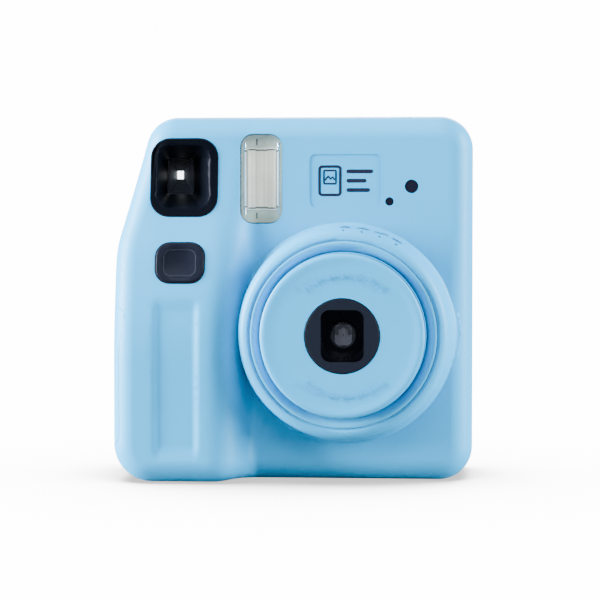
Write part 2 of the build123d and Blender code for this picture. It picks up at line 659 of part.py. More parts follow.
lens_front_disc = turned(
    [
        (HOOD_RADIUS + 0.1, LENS_FRONT + 0.5),
        (DISC_RADIUS - 4, LENS_FRONT + 0.35),
        (DISC_RADIUS - 1.6, LENS_FRONT),
        (DISC_RADIUS - 0.6, LENS_FRONT),
        (DISC_RADIUS, LENS_FRONT + 0.6),
        (DISC_RADIUS, disc_back),
        (24.1, disc_back),
        (24.1, disc_back + 1.9),
        (22.0, disc_back + 1.9),
        (22.0, disc_back),
        (HOOD_RADIUS + 0.1, disc_back),
    ]
)
keep("lens_front_disc", lens_front_disc)

lens_barrel = turned(
    [
        (24.2, disc_back + 0.05),
        (BARREL_RADIUS, disc_back + 0.05),
        (BARREL_RADIUS, BARREL_BACK),
        (24.2, BARREL_BACK),
        (24.2, web_y + 1.2),
        (11.1, web_y + 1.2),
        (11.1, web_y),
        (24.2, web_y),
    ]
)
keep("lens_barrel", lens_barrel)

with BuildPart() as lens_hood_ring:
    add(
        turned(
            [
                (0, LENS_FRONT + 0.35),
                (HOOD_RADIUS - 0.3, LENS_FRONT + 0.35),
                (HOOD_RADIUS, LENS_FRONT + 0.65),
                (HOOD_RADIUS, disc_back + 0.1),
                (14, disc_back + 0.1),
                (14, disc_back + 0.9),
                (0, disc_back + 0.9),
            ]
        )
    )
    add(prism(lens_plane(LENS_FRONT), HOOD_OPENING, 0, DISC_THICK + 2), mode=Mode.SUBTRACT)
keep("lens_hood_ring", lens_hood_ring.part)

cell_front = disc_back + 1.0
lens_cell = turned(
    [
        (RECESS_RADIUS, cell_front),
        (13, cell_front),
        (13, web_y - 0.05),
        (11, web_y - 0.05),
        (11, cell_front + 4.8),
        (4.2, cell_front + 4.8),
        (4.2, cell_front + 4.2),
        (LENS_HALF + 0.05, cell_front + 4.2),
        (LENS_HALF + 0.05, cell_front + 2.2),
        (5.5, cell_front + 2.2),
        (5.5, cell_front + 1.4),
        (RECESS_RADIUS, cell_front + 1.4),
    ]
)
keep("lens_cell", lens_cell)

lens_retainer = turned(
    [(4.3, cell_front + 1.7), (4.5, cell_front + 1.3), (5.45, cell_front + 1.3), (5.45, cell_front + 2.15)]
    + [(4.3, cell_front + 2.15)]
)
keep("lens_retainer", lens_retainer)


def dome(rim, radius, bow):
    """Half section of a spherical face, from a small flat at its middle out to its rim, as three points."""
    ball = (radius**2 + bow**2) / (2 * bow)
    return [(at, rim + (ball**2 - at**2) ** 0.5 - (ball - bow)) for at in (radius / 12, radius / 2, radius)]


def glass(front, back, radius, front_bow, back_bow):
    """Lens about the lens axis: y of its front and back rims, its radius, and how far each face bows out."""
    back_face = dome(back, radius, back_bow)
    front_face = [(at, 2 * front - y) for at, y in dome(front, radius, front_bow)]
    with BuildPart() as piece:
        with BuildSketch(LENS_SECTION):
            with BuildLine():
                ThreePointArc(*back_face)
                Line(back_face[-1], front_face[-1])
                ThreePointArc(*front_face)
                Polyline(front_face[0], (0, front_face[0][1]), (0, back_face[0][1]), back_face[0])
            make_face()
        revolve(axis=LENS_AXIS)
    return piece.part


keep("front_lens", glass(cell_front + 2.4, cell_front + 3.9, LENS_HALF, 0.5, 0.25))

APERTURE_X = LENS_X + 8
aperture_y = plate_y - 2.1
with BuildPart() as aperture_disc:
    rod((APERTURE_X, aperture_y, LENS_Z), (APERTURE_X, aperture_y + 0.3, LENS_Z), 12.6)
    rod((APERTURE_X, aperture_y - 1, LENS_Z), (APERTURE_X, aperture_y + 1, LENS_Z), 1.0 + RUN, Mode.SUBTRACT)
    for turn, hole in zip(range(4), (3.4, 2.5, 1.7, 1.1)):
        x = APERTURE_X - 8 * cos(radians(30 * turn))
        z = LENS_Z + 8 * sin(radians(30 * turn))
        rod((x, aperture_y - 1, z), (x, aperture_y + 1, z), hole, Mode.SUBTRACT)
keep("aperture_disc", aperture_disc.part)

SHUTTER_PIVOT = (LENS_X - 9, LENS_Z - 7)
with BuildPart() as shutter_plate:
    rod((LENS_X, plate_y, LENS_Z), (LENS_X, plate_y + 1, LENS_Z), 24.1)
    rod((APERTURE_X, plate_y, LENS_Z), (APERTURE_X, aperture_y - 0.3, LENS_Z), 1.0)
    pivot_x, pivot_z = SHUTTER_PIVOT
    rod((pivot_x, plate_y, pivot_z), (pivot_x, plate_y - 1.3, pivot_z), 0.8)
    rod((LENS_X, plate_y + 0.5, LENS_Z), (LENS_X, rear_lens_y + 3, LENS_Z), 7.4)
    rod((LENS_X, plate_y - 1, LENS_Z), (LENS_X, rear_lens_y + 4, LENS_Z), 4.0, Mode.SUBTRACT)
    rod((LENS_X, rear_lens_y, LENS_Z), (LENS_X, rear_lens_y + 4, LENS_Z), 6.05, Mode.SUBTRACT)
keep("shutter_plate", shutter_plate.part)

keep("rear_lens", glass(rear_lens_y + 0.5, rear_lens_y + 2.4, 6.0, 0.4, 0.4))

with BuildPart() as shutter_blade:
    with BuildSketch(facing(SHUTTER_PIVOT[0], plate_y - 0.4, SHUTTER_PIVOT[1])):
        with Locations((9, 7)):
            Circle(5.2)
        Circle(2.2)
        with BuildLine():
            Polyline((-1.4, 1.7), (6.0, 9.6), (12.4, 3.4), (1.6, -1.5), close=True)
        make_face()
        Circle(0.8 + RUN, mode=Mode.SUBTRACT)
    extrude(amount=0.2)
keep("shutter_blade", shutter_blade.part)

with BuildPart() as shutter_solenoid:
    rod((LENS_X - 14, plate_y + 1.1, LENS_Z + 8), (LENS_X - 14, plate_y + 9, LENS_Z + 8), 4.2)
    rod((LENS_X - 14, plate_y + 9, LENS_Z + 8), (LENS_X - 14, plate_y + 10, LENS_Z + 8), 4.8)
keep("shutter_solenoid", shutter_solenoid.part)

# ---------------------------------------------------------------- lens surround: dial, guide, seal and lamps
DIAL_RADIUS = 30.9
DIAL_FRONT = -32.2
DIAL_INNER = 27.3
with BuildPart() as exposure_dial:
    with BuildSketch(LENS_SECTION):
        with BuildLine():
            Polyline(
                (DIAL_INNER, DIAL_FRONT + 2.4),
                (DIAL_INNER, DIAL_SEAT_Y - 0.2),
                (DIAL_RADIUS, DIAL_SEAT_Y - 0.2),
                (DIAL_RADIUS, DIAL_FRONT + 0.5),
            )
            ThreePointArc(
                (DIAL_RADIUS, DIAL_FRONT + 0.5),
                (DIAL_RADIUS - 0.35, DIAL_FRONT + 0.1),
                (DIAL_RADIUS - 0.9, DIAL_FRONT),
            )
            Bezier(
                (DIAL_RADIUS - 0.9, DIAL_FRONT),
                (DIAL_RADIUS - 2.0, DIAL_FRONT + 0.1),
                (DIAL_INNER + 1.0, DIAL_FRONT + 1.4),
                (DIAL_INNER, DIAL_FRONT + 2.4),
            )
        make_face()
    revolve(axis=LENS_AXIS)
keep("exposure_dial", exposure_dial.part)

GUIDE_BORE = BARREL_RADIUS + 0.08
GUIDE_BACK = -9.0
lens_guide_tube = turned(
    [
        (GUIDE_BORE, DIAL_SEAT_Y + 0.2),
        (BARREL_BORE - 0.1, DIAL_SEAT_Y + 0.2),
        (BARREL_BORE - 0.1, FACE_Y + WALL + 0.1),
        (31, FACE_Y + WALL + 0.1),
        (31, FACE_Y + WALL + 1.6),
        (BARREL_BORE - 0.1, FACE_Y + WALL + 1.6),
        (BARREL_BORE - 0.1, GUIDE_BACK),
        (GUIDE_BORE, GUIDE_BACK),
    ]
)
keep("lens_guide_tube", lens_guide_tube)

with BuildPart() as exposure_lamps:
    for angle in LAMP_ANGLES:
        rod(lamp_point(angle, LAMP_REACH[0]), lamp_point(angle, LAMP_REACH[1]), LAMP_RADIUS)
keep("exposure_lamps", exposure_lamps.part)

# ---------------------------------------------------------------- viewfinder, flash, sensors, shutter button
PROUD_FINDER = 0.3
PROUD_FLASH = 0.4
FINDER_WINDOW = (9.3, 12.3, 1.5)
FINDER_BACK = -13.0
FINDER_FUNNEL = (19.4, 22.8, 4.9)
with BuildPart() as viewfinder_bezel:
    add(prism(finder_face, FINDER_BEZEL, 0, 14))
    add(OUTER.moved(Location((0, -PROUD_FINDER, 0))), mode=Mode.INTERSECT)
    slab((-BEYOND, FINDER_BACK, 0), (BEYOND, BACK_Y, HEIGHT), Mode.SUBTRACT)
    with BuildSketch(finder_face.offset(1.2)):
        RectangleRounded(*FINDER_FUNNEL)
    with BuildSketch(facing(FINDER_X, FINDER_BACK, FINDER_Z)):
        RectangleRounded(*FINDER_WINDOW)
    loft(mode=Mode.SUBTRACT)
keep("viewfinder_bezel", viewfinder_bezel.part)

TUBE_FRONT = (12.4, 15.4, 2.0)
TUBE_REAR = (11.0, 9.4, 2.0)
with BuildPart() as viewfinder_tube:
    with BuildSketch(facing(FINDER_X, FINDER_BACK + 0.2, FINDER_Z)):
        RectangleRounded(*TUBE_FRONT)
    with BuildSketch(facing(FINDER_X, INSIDE_BACK - 0.2, FINDER_Z)):
        RectangleRounded(*TUBE_REAR)
    loft()
    with BuildSketch(facing(FINDER_X, FINDER_BACK, FINDER_Z)):
        RectangleRounded(TUBE_FRONT[0] - 2.4, TUBE_FRONT[1] - 2.4, 1)
    with BuildSketch(facing(FINDER_X, INSIDE_BACK, FINDER_Z)):
        RectangleRounded(TUBE_REAR[0] - 2.4, TUBE_REAR[1] - 2.4, 1)
    loft(mode=Mode.SUBTRACT)
keep("viewfinder_tube", viewfinder_tube.part)

with BuildPart() as viewfinder_front_lens:
    with BuildSketch(facing(FINDER_X, FINDER_BACK + 2.4, FINDER_Z)):
        RectangleRounded(9.2, 12.2, 0.8)
    extrude(amount=1.6)
keep("viewfinder_front_lens", viewfinder_front_lens.part)

with BuildPart() as eyepiece_bezel:
    add(back_prism(FINDER_X, FINDER_Z, (17, 14.6, 4.5), BACK_Y + 0.05, BACK_Y + 2.0))
    fillet(eyepiece_bezel.faces().sort_by(Axis.Y)[-1].edges(), 0.9)
    plug = (EYEPIECE[0] - 0.2, EYEPIECE[1] - 0.2, EYEPIECE[2] - 0.1)
    add(back_prism(FINDER_X, FINDER_Z, plug, INSIDE_BACK + 0.1, BACK_Y + 0.1))
    add(back_prism(FINDER_X, FINDER_Z, (9.4, 7.6, 1.6), 20, BACK_Y + 4), mode=Mode.SUBTRACT)
    add(back_prism(FINDER_X, FINDER_Z, (11, 9, 2), 27.2, BACK_Y + 4), mode=Mode.SUBTRACT)
keep("eyepiece_bezel", eyepiece_bezel.part)
keep("eyepiece_lens", back_prism(FINDER_X, FINDER_Z, (10.8, 8.8, 1.9), 27.3, 28.7))

with BuildPart() as flash_window:
    add(prism(facing(FLASH_X, FACE_Y, FLASH_Z), FLASH_WINDOW, 0, WALL))
    add(OUTER.moved(Location((0, -PROUD_FLASH, 0))), mode=Mode.INTERSECT)
keep("flash_window", flash_window.part)

REFLECTOR = (12.4, 24.0)  # width and height of the mouth
REFLECTOR_DEPTH = 7.6
with BuildPart() as flash_reflector:
    with BuildSketch(Plane.XY.offset(FLASH_Z - REFLECTOR[1] / 2)):
        mouth_y = FACE_Y + WALL + 0.6
        with BuildLine():
            trough = ThreePointArc(
                (FLASH_X - REFLECTOR[0] / 2 + 0.6, mouth_y),
                (FLASH_X, mouth_y + REFLECTOR_DEPTH),
                (FLASH_X + REFLECTOR[0] / 2 - 0.6, mouth_y),
            )
            offset(trough, amount=0.4, side=Side.BOTH)
        make_face()
    extrude(amount=REFLECTOR[1])
keep("flash_reflector", flash_reflector.part)

with BuildPart() as flash_tube:
    tube_y = mouth_y + REFLECTOR_DEPTH - 3.2
    rod((FLASH_X, tube_y, FLASH_Z - 12.5), (FLASH_X, tube_y, FLASH_Z + 12.5), 1.4)
keep("flash_tube", flash_tube.part)

with BuildPart() as sensor_windows:
    for x, z, radius in (FLASH_SENSOR, LIGHT_SENSOR):
        rod((x, FACE_Y + 0.15, z), (x, FACE_Y + WALL + 0.3, z), radius)
        rod((x, FACE_Y + WALL + 0.1, z), (x, FACE_Y + WALL + 0.9, z), radius + 0.9)
    slab(
        (LIGHT_SENSOR[0], FACE_Y + WALL + 0.2, SENSOR_BRIDGE_Z[0]),
        (FLASH_SENSOR[0], FACE_Y + WALL + 0.8, SENSOR_BRIDGE_Z[1]),
    )
keep("sensor_windows", sensor_windows.part)

with BuildPart() as sensor_board:
    slab((28, FACE_Y + 3.4, 89.8), (42.2, FACE_Y + 4.6, 102.5))
    for x, z, radius in (FLASH_SENSOR, LIGHT_SENSOR):
        slab((x - 1, FACE_Y + WALL + 1.0, z - 1), (x + 1, FACE_Y + 3.5, z + 1))
keep("sensor_board", sensor_board.part)

BUTTON_DISH = 22.0  # radius of the hollow in the button's face
BUTTON_PROUD = 0.5
button_width, button_height, button_corner = BUTTON_SIZE
with BuildPart() as shutter_button:
    add(prism(button_face, BUTTON_SIZE, 0, 3.2, ahead=BUTTON_PROUD))
    fillet(shutter_button.edges().filter_by(lambda e: button_face.to_local_coords(e.center()).Z > 0.4), 0.45)
    with Locations(button_point(0, 0, -BUTTON_PROUD - BUTTON_DISH + 0.9)):
        Sphere(BUTTON_DISH, mode=Mode.SUBTRACT)
    with BuildSketch(button_face.offset(-3.6)):
        RectangleRounded(button_width + 2, button_height + 2, button_corner + 1)
    extrude(amount=0.9)
    rod(button_point(0, 0, 3), button_point(0, 0, 6.3), 2)
keep("shutter_button", shutter_button.part)

keep("button_spring", coil(button_point(0, 0, 3.8), button_point(0, 0, 11.1), 3.6, 0.2, 5))

with BuildPart() as button_switch:
    with BuildSketch(button_face.offset(-SWITCH_BOARD_DEPTH - 1.2)):
        Rectangle(23.6, 10)
    extrude(amount=1.15)
    with BuildSketch(button_face.offset(-SWITCH_BOARD_DEPTH - 0.5)):
        Rectangle(4.4, 4.4)
    extrude(amount=3.4)
    rod(button_point(0, 0, SWITCH_BOARD_DEPTH - 1), button_point(0, 0, 7.75), 1.4)
keep("button_switch", button_switch.part)

# ---------------------------------------------------------------- chassis
PLATE_LEFT = (-17.0, -15.0)
PLATE_RIGHT = (49.0, 50.2)
GATE_Y = (10.8, 12.8)
GATE_Z = (6.0, 99.8)
PLATE_BACK = 25.4
TUNNEL_FRONT = -6.3
TUNNEL_MOUTH = (26.0, 32.0)
TUNNEL_WALL = 1.6
ROLLER_Z = 105.0
ROLLER_RADIUS = 4.2
ROLLER_APART = 8.9
SHAFT_RADIUS = 1.2
BUSH_RADIUS = 2.3
DRIVE_Y = FILM_Y - ROLLER_APART / 2
PINCH_Y = FILM_Y + ROLLER_APART / 2
PICK_SLOT = (13.0, 21.0)
PICK_NOTCH = (11.6, 22.4)  # the foot of the pick rises through the chassis here
TRANSFER_LEAN = radians(-107.4)  # direction from the drive roller down to the transfer gear
transfer_reach = apart(TRANSFER_TEETH, ROLLER_TEETH)
TRANSFER_CENTRE = (
    DRIVE_Y + transfer_reach * cos(TRANSFER_LEAN),
    ROLLER_Z + transfer_reach * sin(TRANSFER_LEAN),
)
COMPOUND_CENTRE = corner(
    MOTOR_CENTRE,
    TRANSFER_CENTRE,
    apart(PINION_TEETH, WHEEL_TEETH),
    apart(PINION_TEETH, TRANSFER_TEETH),
)
GEAR_AXLES = (COMPOUND_CENTRE, TRANSFER_CENTRE)

with BuildPart() as chassis:
    slab((PLATE_LEFT[0], GATE_Y[0], GATE_Z[0]), (PLATE_RIGHT[1], GATE_Y[1], GATE_Z[1]))
    slab((PLATE_LEFT[0], GATE_Y[0], GATE_Z[0]), (PLATE_LEFT[1], PLATE_BACK, 111))
    slab((PLATE_RIGHT[0], GATE_Y[0], GATE_Z[0]), (PLATE_RIGHT[1], PLATE_BACK, 111))
    slab((PLATE_LEFT[0], TUNNEL_FRONT, 64), (PLATE_LEFT[1], GATE_Y[0], 111))
    slab((PLATE_RIGHT[0], 4, 90), (PLATE_RIGHT[1], GATE_Y[0], 111))
    slab((PLATE_LEFT[0], GATE_Y[0], GATE_Z[0]), (PLATE_RIGHT[1], PLATE_BACK, GATE_Z[0] + 2))
    rod((LENS_X, TUNNEL_FRONT, LENS_Z), (LENS_X, TUNNEL_FRONT + 1.3, LENS_Z), 30)
    with BuildSketch(lens_plane(GATE_Y[0] + 0.1)):
        Rectangle(IMAGE_WIDTH + 2 * TUNNEL_WALL, IMAGE_HEIGHT + 2 * TUNNEL_WALL)
    with BuildSketch(lens_plane(TUNNEL_FRONT)):
        Rectangle(TUNNEL_MOUTH[0] + 2 * TUNNEL_WALL, TUNNEL_MOUTH[1] + 2 * TUNNEL_WALL)
    loft()
    with BuildSketch(lens_plane(GATE_Y[1] + 0.1)):
        Rectangle(IMAGE_WIDTH, IMAGE_HEIGHT)
    with BuildSketch(lens_plane(TUNNEL_FRONT - 0.1)):
        Rectangle(*TUNNEL_MOUTH)
    loft(mode=Mode.SUBTRACT)
    slab((PICK_NOTCH[0], GATE_Y[0] - 0.1, 5), (PICK_NOTCH[1], GATE_Y[1] + 3, 9), Mode.SUBTRACT)
    for x, z in POSTS:
        rod((x, 0, z), (x, GATE_Y[1] + 1, z), 1.1, Mode.SUBTRACT)
        rod((x, GATE_Y[1] - 1.1, z), (x, GATE_Y[1] + 1, z), 2.0, Mode.SUBTRACT)
    for y in (DRIVE_Y, PINCH_Y):
        rod((-20, y, ROLLER_Z), (55, y, ROLLER_Z), BUSH_RADIUS + FIT, Mode.SUBTRACT)
    for (y, z), end in zip(GEAR_AXLES, (-24.6, -21.2)):
        rod((PLATE_LEFT[1], y, z), (end, y, z), 1.0)
keep("chassis", chassis.part)

GATE_SCREW_HEAD_Y = GATE_Y[1] - 1.05
with BuildPart() as screws:
    case_seats = [(x, SCREW_HEAD_Y, z, 1.5, 26) for x, z in CASE_SCREWS]
    gate_seats = [(x, GATE_SCREW_HEAD_Y, z, 0.95, 11) for x, z in POSTS]
    for x, y, z, head_height, shank in case_seats + gate_seats:
        rod((x, y, z), (x, y + head_height, z), 1.8)
        rod((x, y, z), (x, y - shank, z), 0.96)
        for width, height in ((2.2, 0.5), (0.5, 2.2)):
            with Locations((x, y + head_height, z)):
                Box(width, 1, height, mode=Mode.SUBTRACT)
keep("screws", screws.part)

# ---------------------------------------------------------------- film pack, film, print and pick
pack_left = LENS_X - PACK_WIDTH / 2
pack_right = LENS_X + PACK_WIDTH / 2
pack_top = PACK_BOTTOM + PACK_HEIGHT
film_low = PACK_BOTTOM + 1.8
film_high = film_low + FILM_HEIGHT
film_left = LENS_X - FILM_WIDTH / 2
film_right = LENS_X + FILM_WIDTH / 2
with BuildPart() as film_pack:
    slab((pack_left, PACK_FRONT, PACK_BOTTOM), (pack_right, PACK_BACK, pack_top))
    slab(
        (film_left - 0.5, PACK_FRONT + 1, film_low - 0.6),
        (film_right + 0.5, PACK_BACK - 1, film_high + 0.6),
        Mode.SUBTRACT,
    )
    slab((film_left + 3, PACK_FRONT - 1, 16.3), (film_right - 3, PACK_FRONT + 2, 82.3), Mode.SUBTRACT)
    slab((film_left - 0.5, PACK_FRONT + 1, 90), (film_right + 0.5, FILM_Y + 0.4, pack_top + 1), Mode.SUBTRACT)
    slab((PICK_SLOT[0], FILM_Y - 0.4, PACK_BOTTOM - 1), (PICK_SLOT[1], FILM_Y + 0.3, 15), Mode.SUBTRACT)
keep("film_pack", film_pack.part)

with BuildPart() as print_sheet:
    half_thick = FILM_THICK / 2
    slab((film_left, FILM_Y - half_thick, film_low), (film_right, FILM_Y + half_thick, film_high))
keep("print_sheet", print_sheet.part)

with BuildPart() as film_stack:
    slab((film_left, FILM_Y + 0.45, film_low), (film_right, FILM_Y + 4.4, film_high))
keep("film_stack", film_stack.part)

with BuildPart() as film_pick:
    slab((12, 6, 3.0), (22, 15.4, 3.8))
    slab((15, FILM_Y - 0.2, 3.0), (19, FILM_Y + 0.2, film_low - 4.3))
keep("film_pick", film_pick.part)

# ---------------------------------------------------------------- rollers, gears and motor
with BuildPart() as roller_bushes:
    for y in (DRIVE_Y, PINCH_Y):
        for low, high in ((-17.4, -14.6), (48.4, 50.6)):
            rod((low, y, ROLLER_Z), (high, y, ROLLER_Z), BUSH_RADIUS)
            rod((low - 1, y, ROLLER_Z), (high + 1, y, ROLLER_Z), SHAFT_RADIUS + RUN, Mode.SUBTRACT)
keep("roller_bushes", roller_bushes.part)


def gear(centre, low, high, teeth, phase, bore):
    """Spur gear about an X axis, with involute flanks; the phase is the angle of one tooth, from +Y."""
    pitch = GEAR_MODULE * teeth / 2
    base = pitch * cos(PRESSURE_ANGLE)
    root = pitch - 1.2 * GEAR_MODULE
    tip = pitch + 0.9 * GEAR_MODULE
    half_tooth = pi / (2 * teeth) - BACKLASH / (4 * pitch)
    start = max(root, base)
    flank = []
    for step in range(FLANK_STEPS + 1):
        radius = start + (tip - start) * step / FLANK_STEPS
        swing = involute(PRESSURE_ANGLE) - involute(acos(min(base / radius, 1)))
        flank.append((radius, half_tooth + swing))
    points = []
    for tooth in range(teeth):
        middle = phase + 2 * pi * tooth / teeth
        side = flank if root >= base else [(root, flank[0][1])] + flank
        for radius, half in side:
            points.append((radius * cos(middle - half), radius * sin(middle - half)))
        for radius, half in reversed(side):
            points.append((radius * cos(middle + half), radius * sin(middle + half)))
    with BuildPart() as piece:
        with BuildSketch(sideways(low, *centre)):
            with BuildLine():
                Polyline(*points, close=True)
            make_face()
            Circle(bore, mode=Mode.SUBTRACT)
        extrude(amount=high - low)
    return piece.part


def meshed(driver, driven, driver_teeth, driven_teeth, driver_phase):
    """Phase that puts a gap of the driven gear over a tooth of its driver; centres are (y, z)."""
    towards = atan2(driven[1] - driver[1], driven[0] - driver[0])
    return towards + pi + pi / driven_teeth - (driver_phase - towards) * driver_teeth / driven_teeth


PLANE_A = (-24.1, -21.4)  # pinion and large wheel
PLANE_B = (-20.9, -17.9)  # small wheel, transfer gear and roller gears
drive_centre = (DRIVE_Y, ROLLER_Z)
pinch_centre = (PINCH_Y, ROLLER_Z)
compound_phase = meshed(MOTOR_CENTRE, COMPOUND_CENTRE, PINION_TEETH, WHEEL_TEETH, 0)
transfer_phase = meshed(COMPOUND_CENTRE, TRANSFER_CENTRE, PINION_TEETH, TRANSFER_TEETH, 0)
drive_phase = meshed(TRANSFER_CENTRE, drive_centre, TRANSFER_TEETH, ROLLER_TEETH, transfer_phase)
pinch_phase = meshed(drive_centre, pinch_centre, ROLLER_TEETH, ROLLER_TEETH, drive_phase)

for roller_name, centre, phase in (
    ("drive_roller", drive_centre, drive_phase),
    ("pinch_roller", pinch_centre, pinch_phase),
):
    roller_gear = gear(centre, *PLANE_B, ROLLER_TEETH, phase, SHAFT_RADIUS / 2)
    with BuildPart() as roller:
        add(roller_gear)
        rod((-12.4, *centre), (46.6, *centre), ROLLER_RADIUS)
        rod((-21.2, *centre), (51.2, *centre), SHAFT_RADIUS)
    keep(roller_name, roller.part)
keep("transfer_gear", gear(TRANSFER_CENTRE, *PLANE_B, TRANSFER_TEETH, transfer_phase, 1.0 + RUN))
wheel = gear(COMPOUND_CENTRE, *PLANE_A, WHEEL_TEETH, compound_phase, 1.0 + RUN)
small_wheel = gear(COMPOUND_CENTRE, PLANE_A[1], PLANE_B[1], PINION_TEETH, 0, 1.0 + RUN)
with BuildPart() as compound_gear:
    add(wheel)
    add(small_wheel)
keep("compound_gear", compound_gear.part)

MOTOR_FACE = -25.6
MOTOR_BACK = -46.0
MOTOR_RADIUS = 10.0
motor_y, motor_z = MOTOR_CENTRE
pinion = gear(MOTOR_CENTRE, *PLANE_A, PINION_TEETH, 0, 0.5)
with BuildPart() as motor_pinion:
    add(pinion)
    rod((MOTOR_FACE + 0.1, motor_y, motor_z), (PLANE_A[1], motor_y, motor_z), 0.75)
keep("motor_pinion", motor_pinion.part)

with BuildPart() as drive_motor:
    rod((MOTOR_BACK, motor_y, motor_z), (MOTOR_FACE, motor_y, motor_z), MOTOR_RADIUS)
    rod((MOTOR_BACK - 2, motor_y, motor_z), (MOTOR_BACK, motor_y, motor_z), 4)
    fillet(drive_motor.edges().filter_by(GeomType.CIRCLE).group_by(SortBy.RADIUS)[-1], 0.8)
keep("drive_motor", drive_motor.part)

with BuildPart() as motor_bracket:
    slab((MOTOR_FACE + 0.05, motor_y - 8, motor_z - 9), (-24.6, motor_y + 8, motor_z + 9))
    rod((MOTOR_FACE - 1, motor_y, motor_z), (-20, motor_y, motor_z), 3.2, Mode.SUBTRACT)
    slab((MOTOR_FACE + 0.05, motor_y, motor_z - 9), (PLATE_LEFT[0] - 0.02, motor_y + 8, motor_z - 7.8))
keep("motor_bracket", motor_bracket.part)

# ---------------------------------------------------------------- power and electronics
CELL_X = -47.5
CELL_Y = (-16.0, 0.0)
CELL_Z = 6.5
with BuildPart() as batteries:
    for y, flip in zip(CELL_Y, (0, 1)):
        rod((CELL_X, y, CELL_Z + (1 - flip)), (CELL_X, y, CELL_Z + CELL_LENGTH - flip), CELL_RADIUS)
        rod((CELL_X, y, CELL_Z), (CELL_X, y, CELL_Z + CELL_LENGTH), 2.6)
keep("batteries", batteries.part)

with BuildPart() as battery_box:
    slab((-40.1, -24.0, 5), (-38.8, 8.0, 60))
    slab((-53.0, -24.0, 58.3), (-38.8, 8.0, 59.6))
    slab((-53.0, -24.0, 4.3), (-38.8, 8.0, 5.5))
    slab((-44.0, -8.6, 5), (-39.0, -7.4, 59))
keep("battery_box", battery_box.part)

with BuildPart() as battery_contacts:
    for y in CELL_Y:
        slab((-52, y - 5, 57.4), (-43, y + 5, 57.8))
        slab((-52, y - 5, 5.7), (-43, y + 5, 6.1))
keep("battery_contacts", battery_contacts.part)

with BuildPart() as flash_capacitor:
    rod((-27.2, -11.5, 14), (-27.2, -11.5, 46), 6.4)
    fillet(flash_capacitor.edges(), 0.8)
keep("flash_capacitor", flash_capacitor.part)

with BuildPart() as main_board:
    slab((-20.3, -14, 14), (-19.1, 9, 60))
    slab((-22.4, 0, 20), (-20.3, 7, 29))
    slab((-21.8, -1, 34), (-20.3, 6, 41))
    slab((-24.0, 1, 47), (-20.3, 7, 55))
    slab((-19.1, 8, 18), (-16.98, 9, 24))
    slab((-19.1, 8, 50), (-16.98, 9, 56))
keep("main_board", main_board.part)

if __name__ == "__main__":
    os.makedirs("parts", exist_ok=True)
    for name, piece in PIECES.items():
        export_step(piece, f"parts/{name}.step")
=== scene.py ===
"""Studio scene for the instant camera: materials, printed and moulded detail, light and view.

Everything is in metres in the camera's own frame: +X right as seen from the front, +Y to the back, +Z up.
"""

import json

from math import acos, atan2, cos, pi, radians, sin, tan

import bmesh
import bpy
import numpy as np
from mathutils import Matrix, Vector
from mathutils.bvhtree import BVHTree
from mathutils.kdtree import KDTree

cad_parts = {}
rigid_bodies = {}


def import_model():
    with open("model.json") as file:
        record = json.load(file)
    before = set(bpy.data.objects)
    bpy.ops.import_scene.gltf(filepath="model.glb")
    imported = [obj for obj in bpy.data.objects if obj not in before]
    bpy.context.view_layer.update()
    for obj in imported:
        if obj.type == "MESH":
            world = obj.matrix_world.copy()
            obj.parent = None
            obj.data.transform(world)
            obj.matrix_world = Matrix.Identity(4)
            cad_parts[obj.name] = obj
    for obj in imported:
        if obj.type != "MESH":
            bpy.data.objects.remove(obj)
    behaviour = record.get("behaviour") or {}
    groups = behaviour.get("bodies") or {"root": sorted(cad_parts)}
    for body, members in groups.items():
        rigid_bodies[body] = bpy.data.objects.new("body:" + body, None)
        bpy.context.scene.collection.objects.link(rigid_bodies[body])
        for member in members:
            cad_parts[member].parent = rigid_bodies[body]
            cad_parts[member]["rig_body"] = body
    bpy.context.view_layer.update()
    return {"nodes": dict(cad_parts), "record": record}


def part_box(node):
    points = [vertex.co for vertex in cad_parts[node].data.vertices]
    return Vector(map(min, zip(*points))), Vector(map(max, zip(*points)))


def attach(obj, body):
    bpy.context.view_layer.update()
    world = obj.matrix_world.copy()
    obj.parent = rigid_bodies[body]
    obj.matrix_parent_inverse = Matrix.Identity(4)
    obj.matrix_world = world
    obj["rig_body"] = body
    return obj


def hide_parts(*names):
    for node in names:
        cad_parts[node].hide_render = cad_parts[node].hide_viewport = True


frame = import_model()
MM = 0.001


# ---------------------------------------------------------------- places taken from the frame
def middle(node):
    low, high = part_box(node)
    return (low + high) / 2


LENS = middle("lens_front_disc")
DISC_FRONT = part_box("lens_front_disc")[0].y
FLASH_LOW, FLASH_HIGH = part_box("flash_window")
FLASH = (FLASH_LOW + FLASH_HIGH) / 2
FINDER_LOW, FINDER_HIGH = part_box("viewfinder_front_lens")
FINDER = (FINDER_LOW + FINDER_HIGH) / 2
FACE_Y = -20 * MM  # the flat front panel


# ---------------------------------------------------------------- node material helpers
def srgb(red, green, blue):
    """Linear colour from an 8-bit display colour."""
    channels = []
    for value in (red, green, blue):
        value /= 255
        channels.append(value / 12.92 if value <= 0.04045 else ((value + 0.055) / 1.055) ** 2.4)
    return (*channels, 1)


NOISE_LOW = 0.3  # between these two lie nearly all values of a noise texture
NOISE_HIGH = 0.7


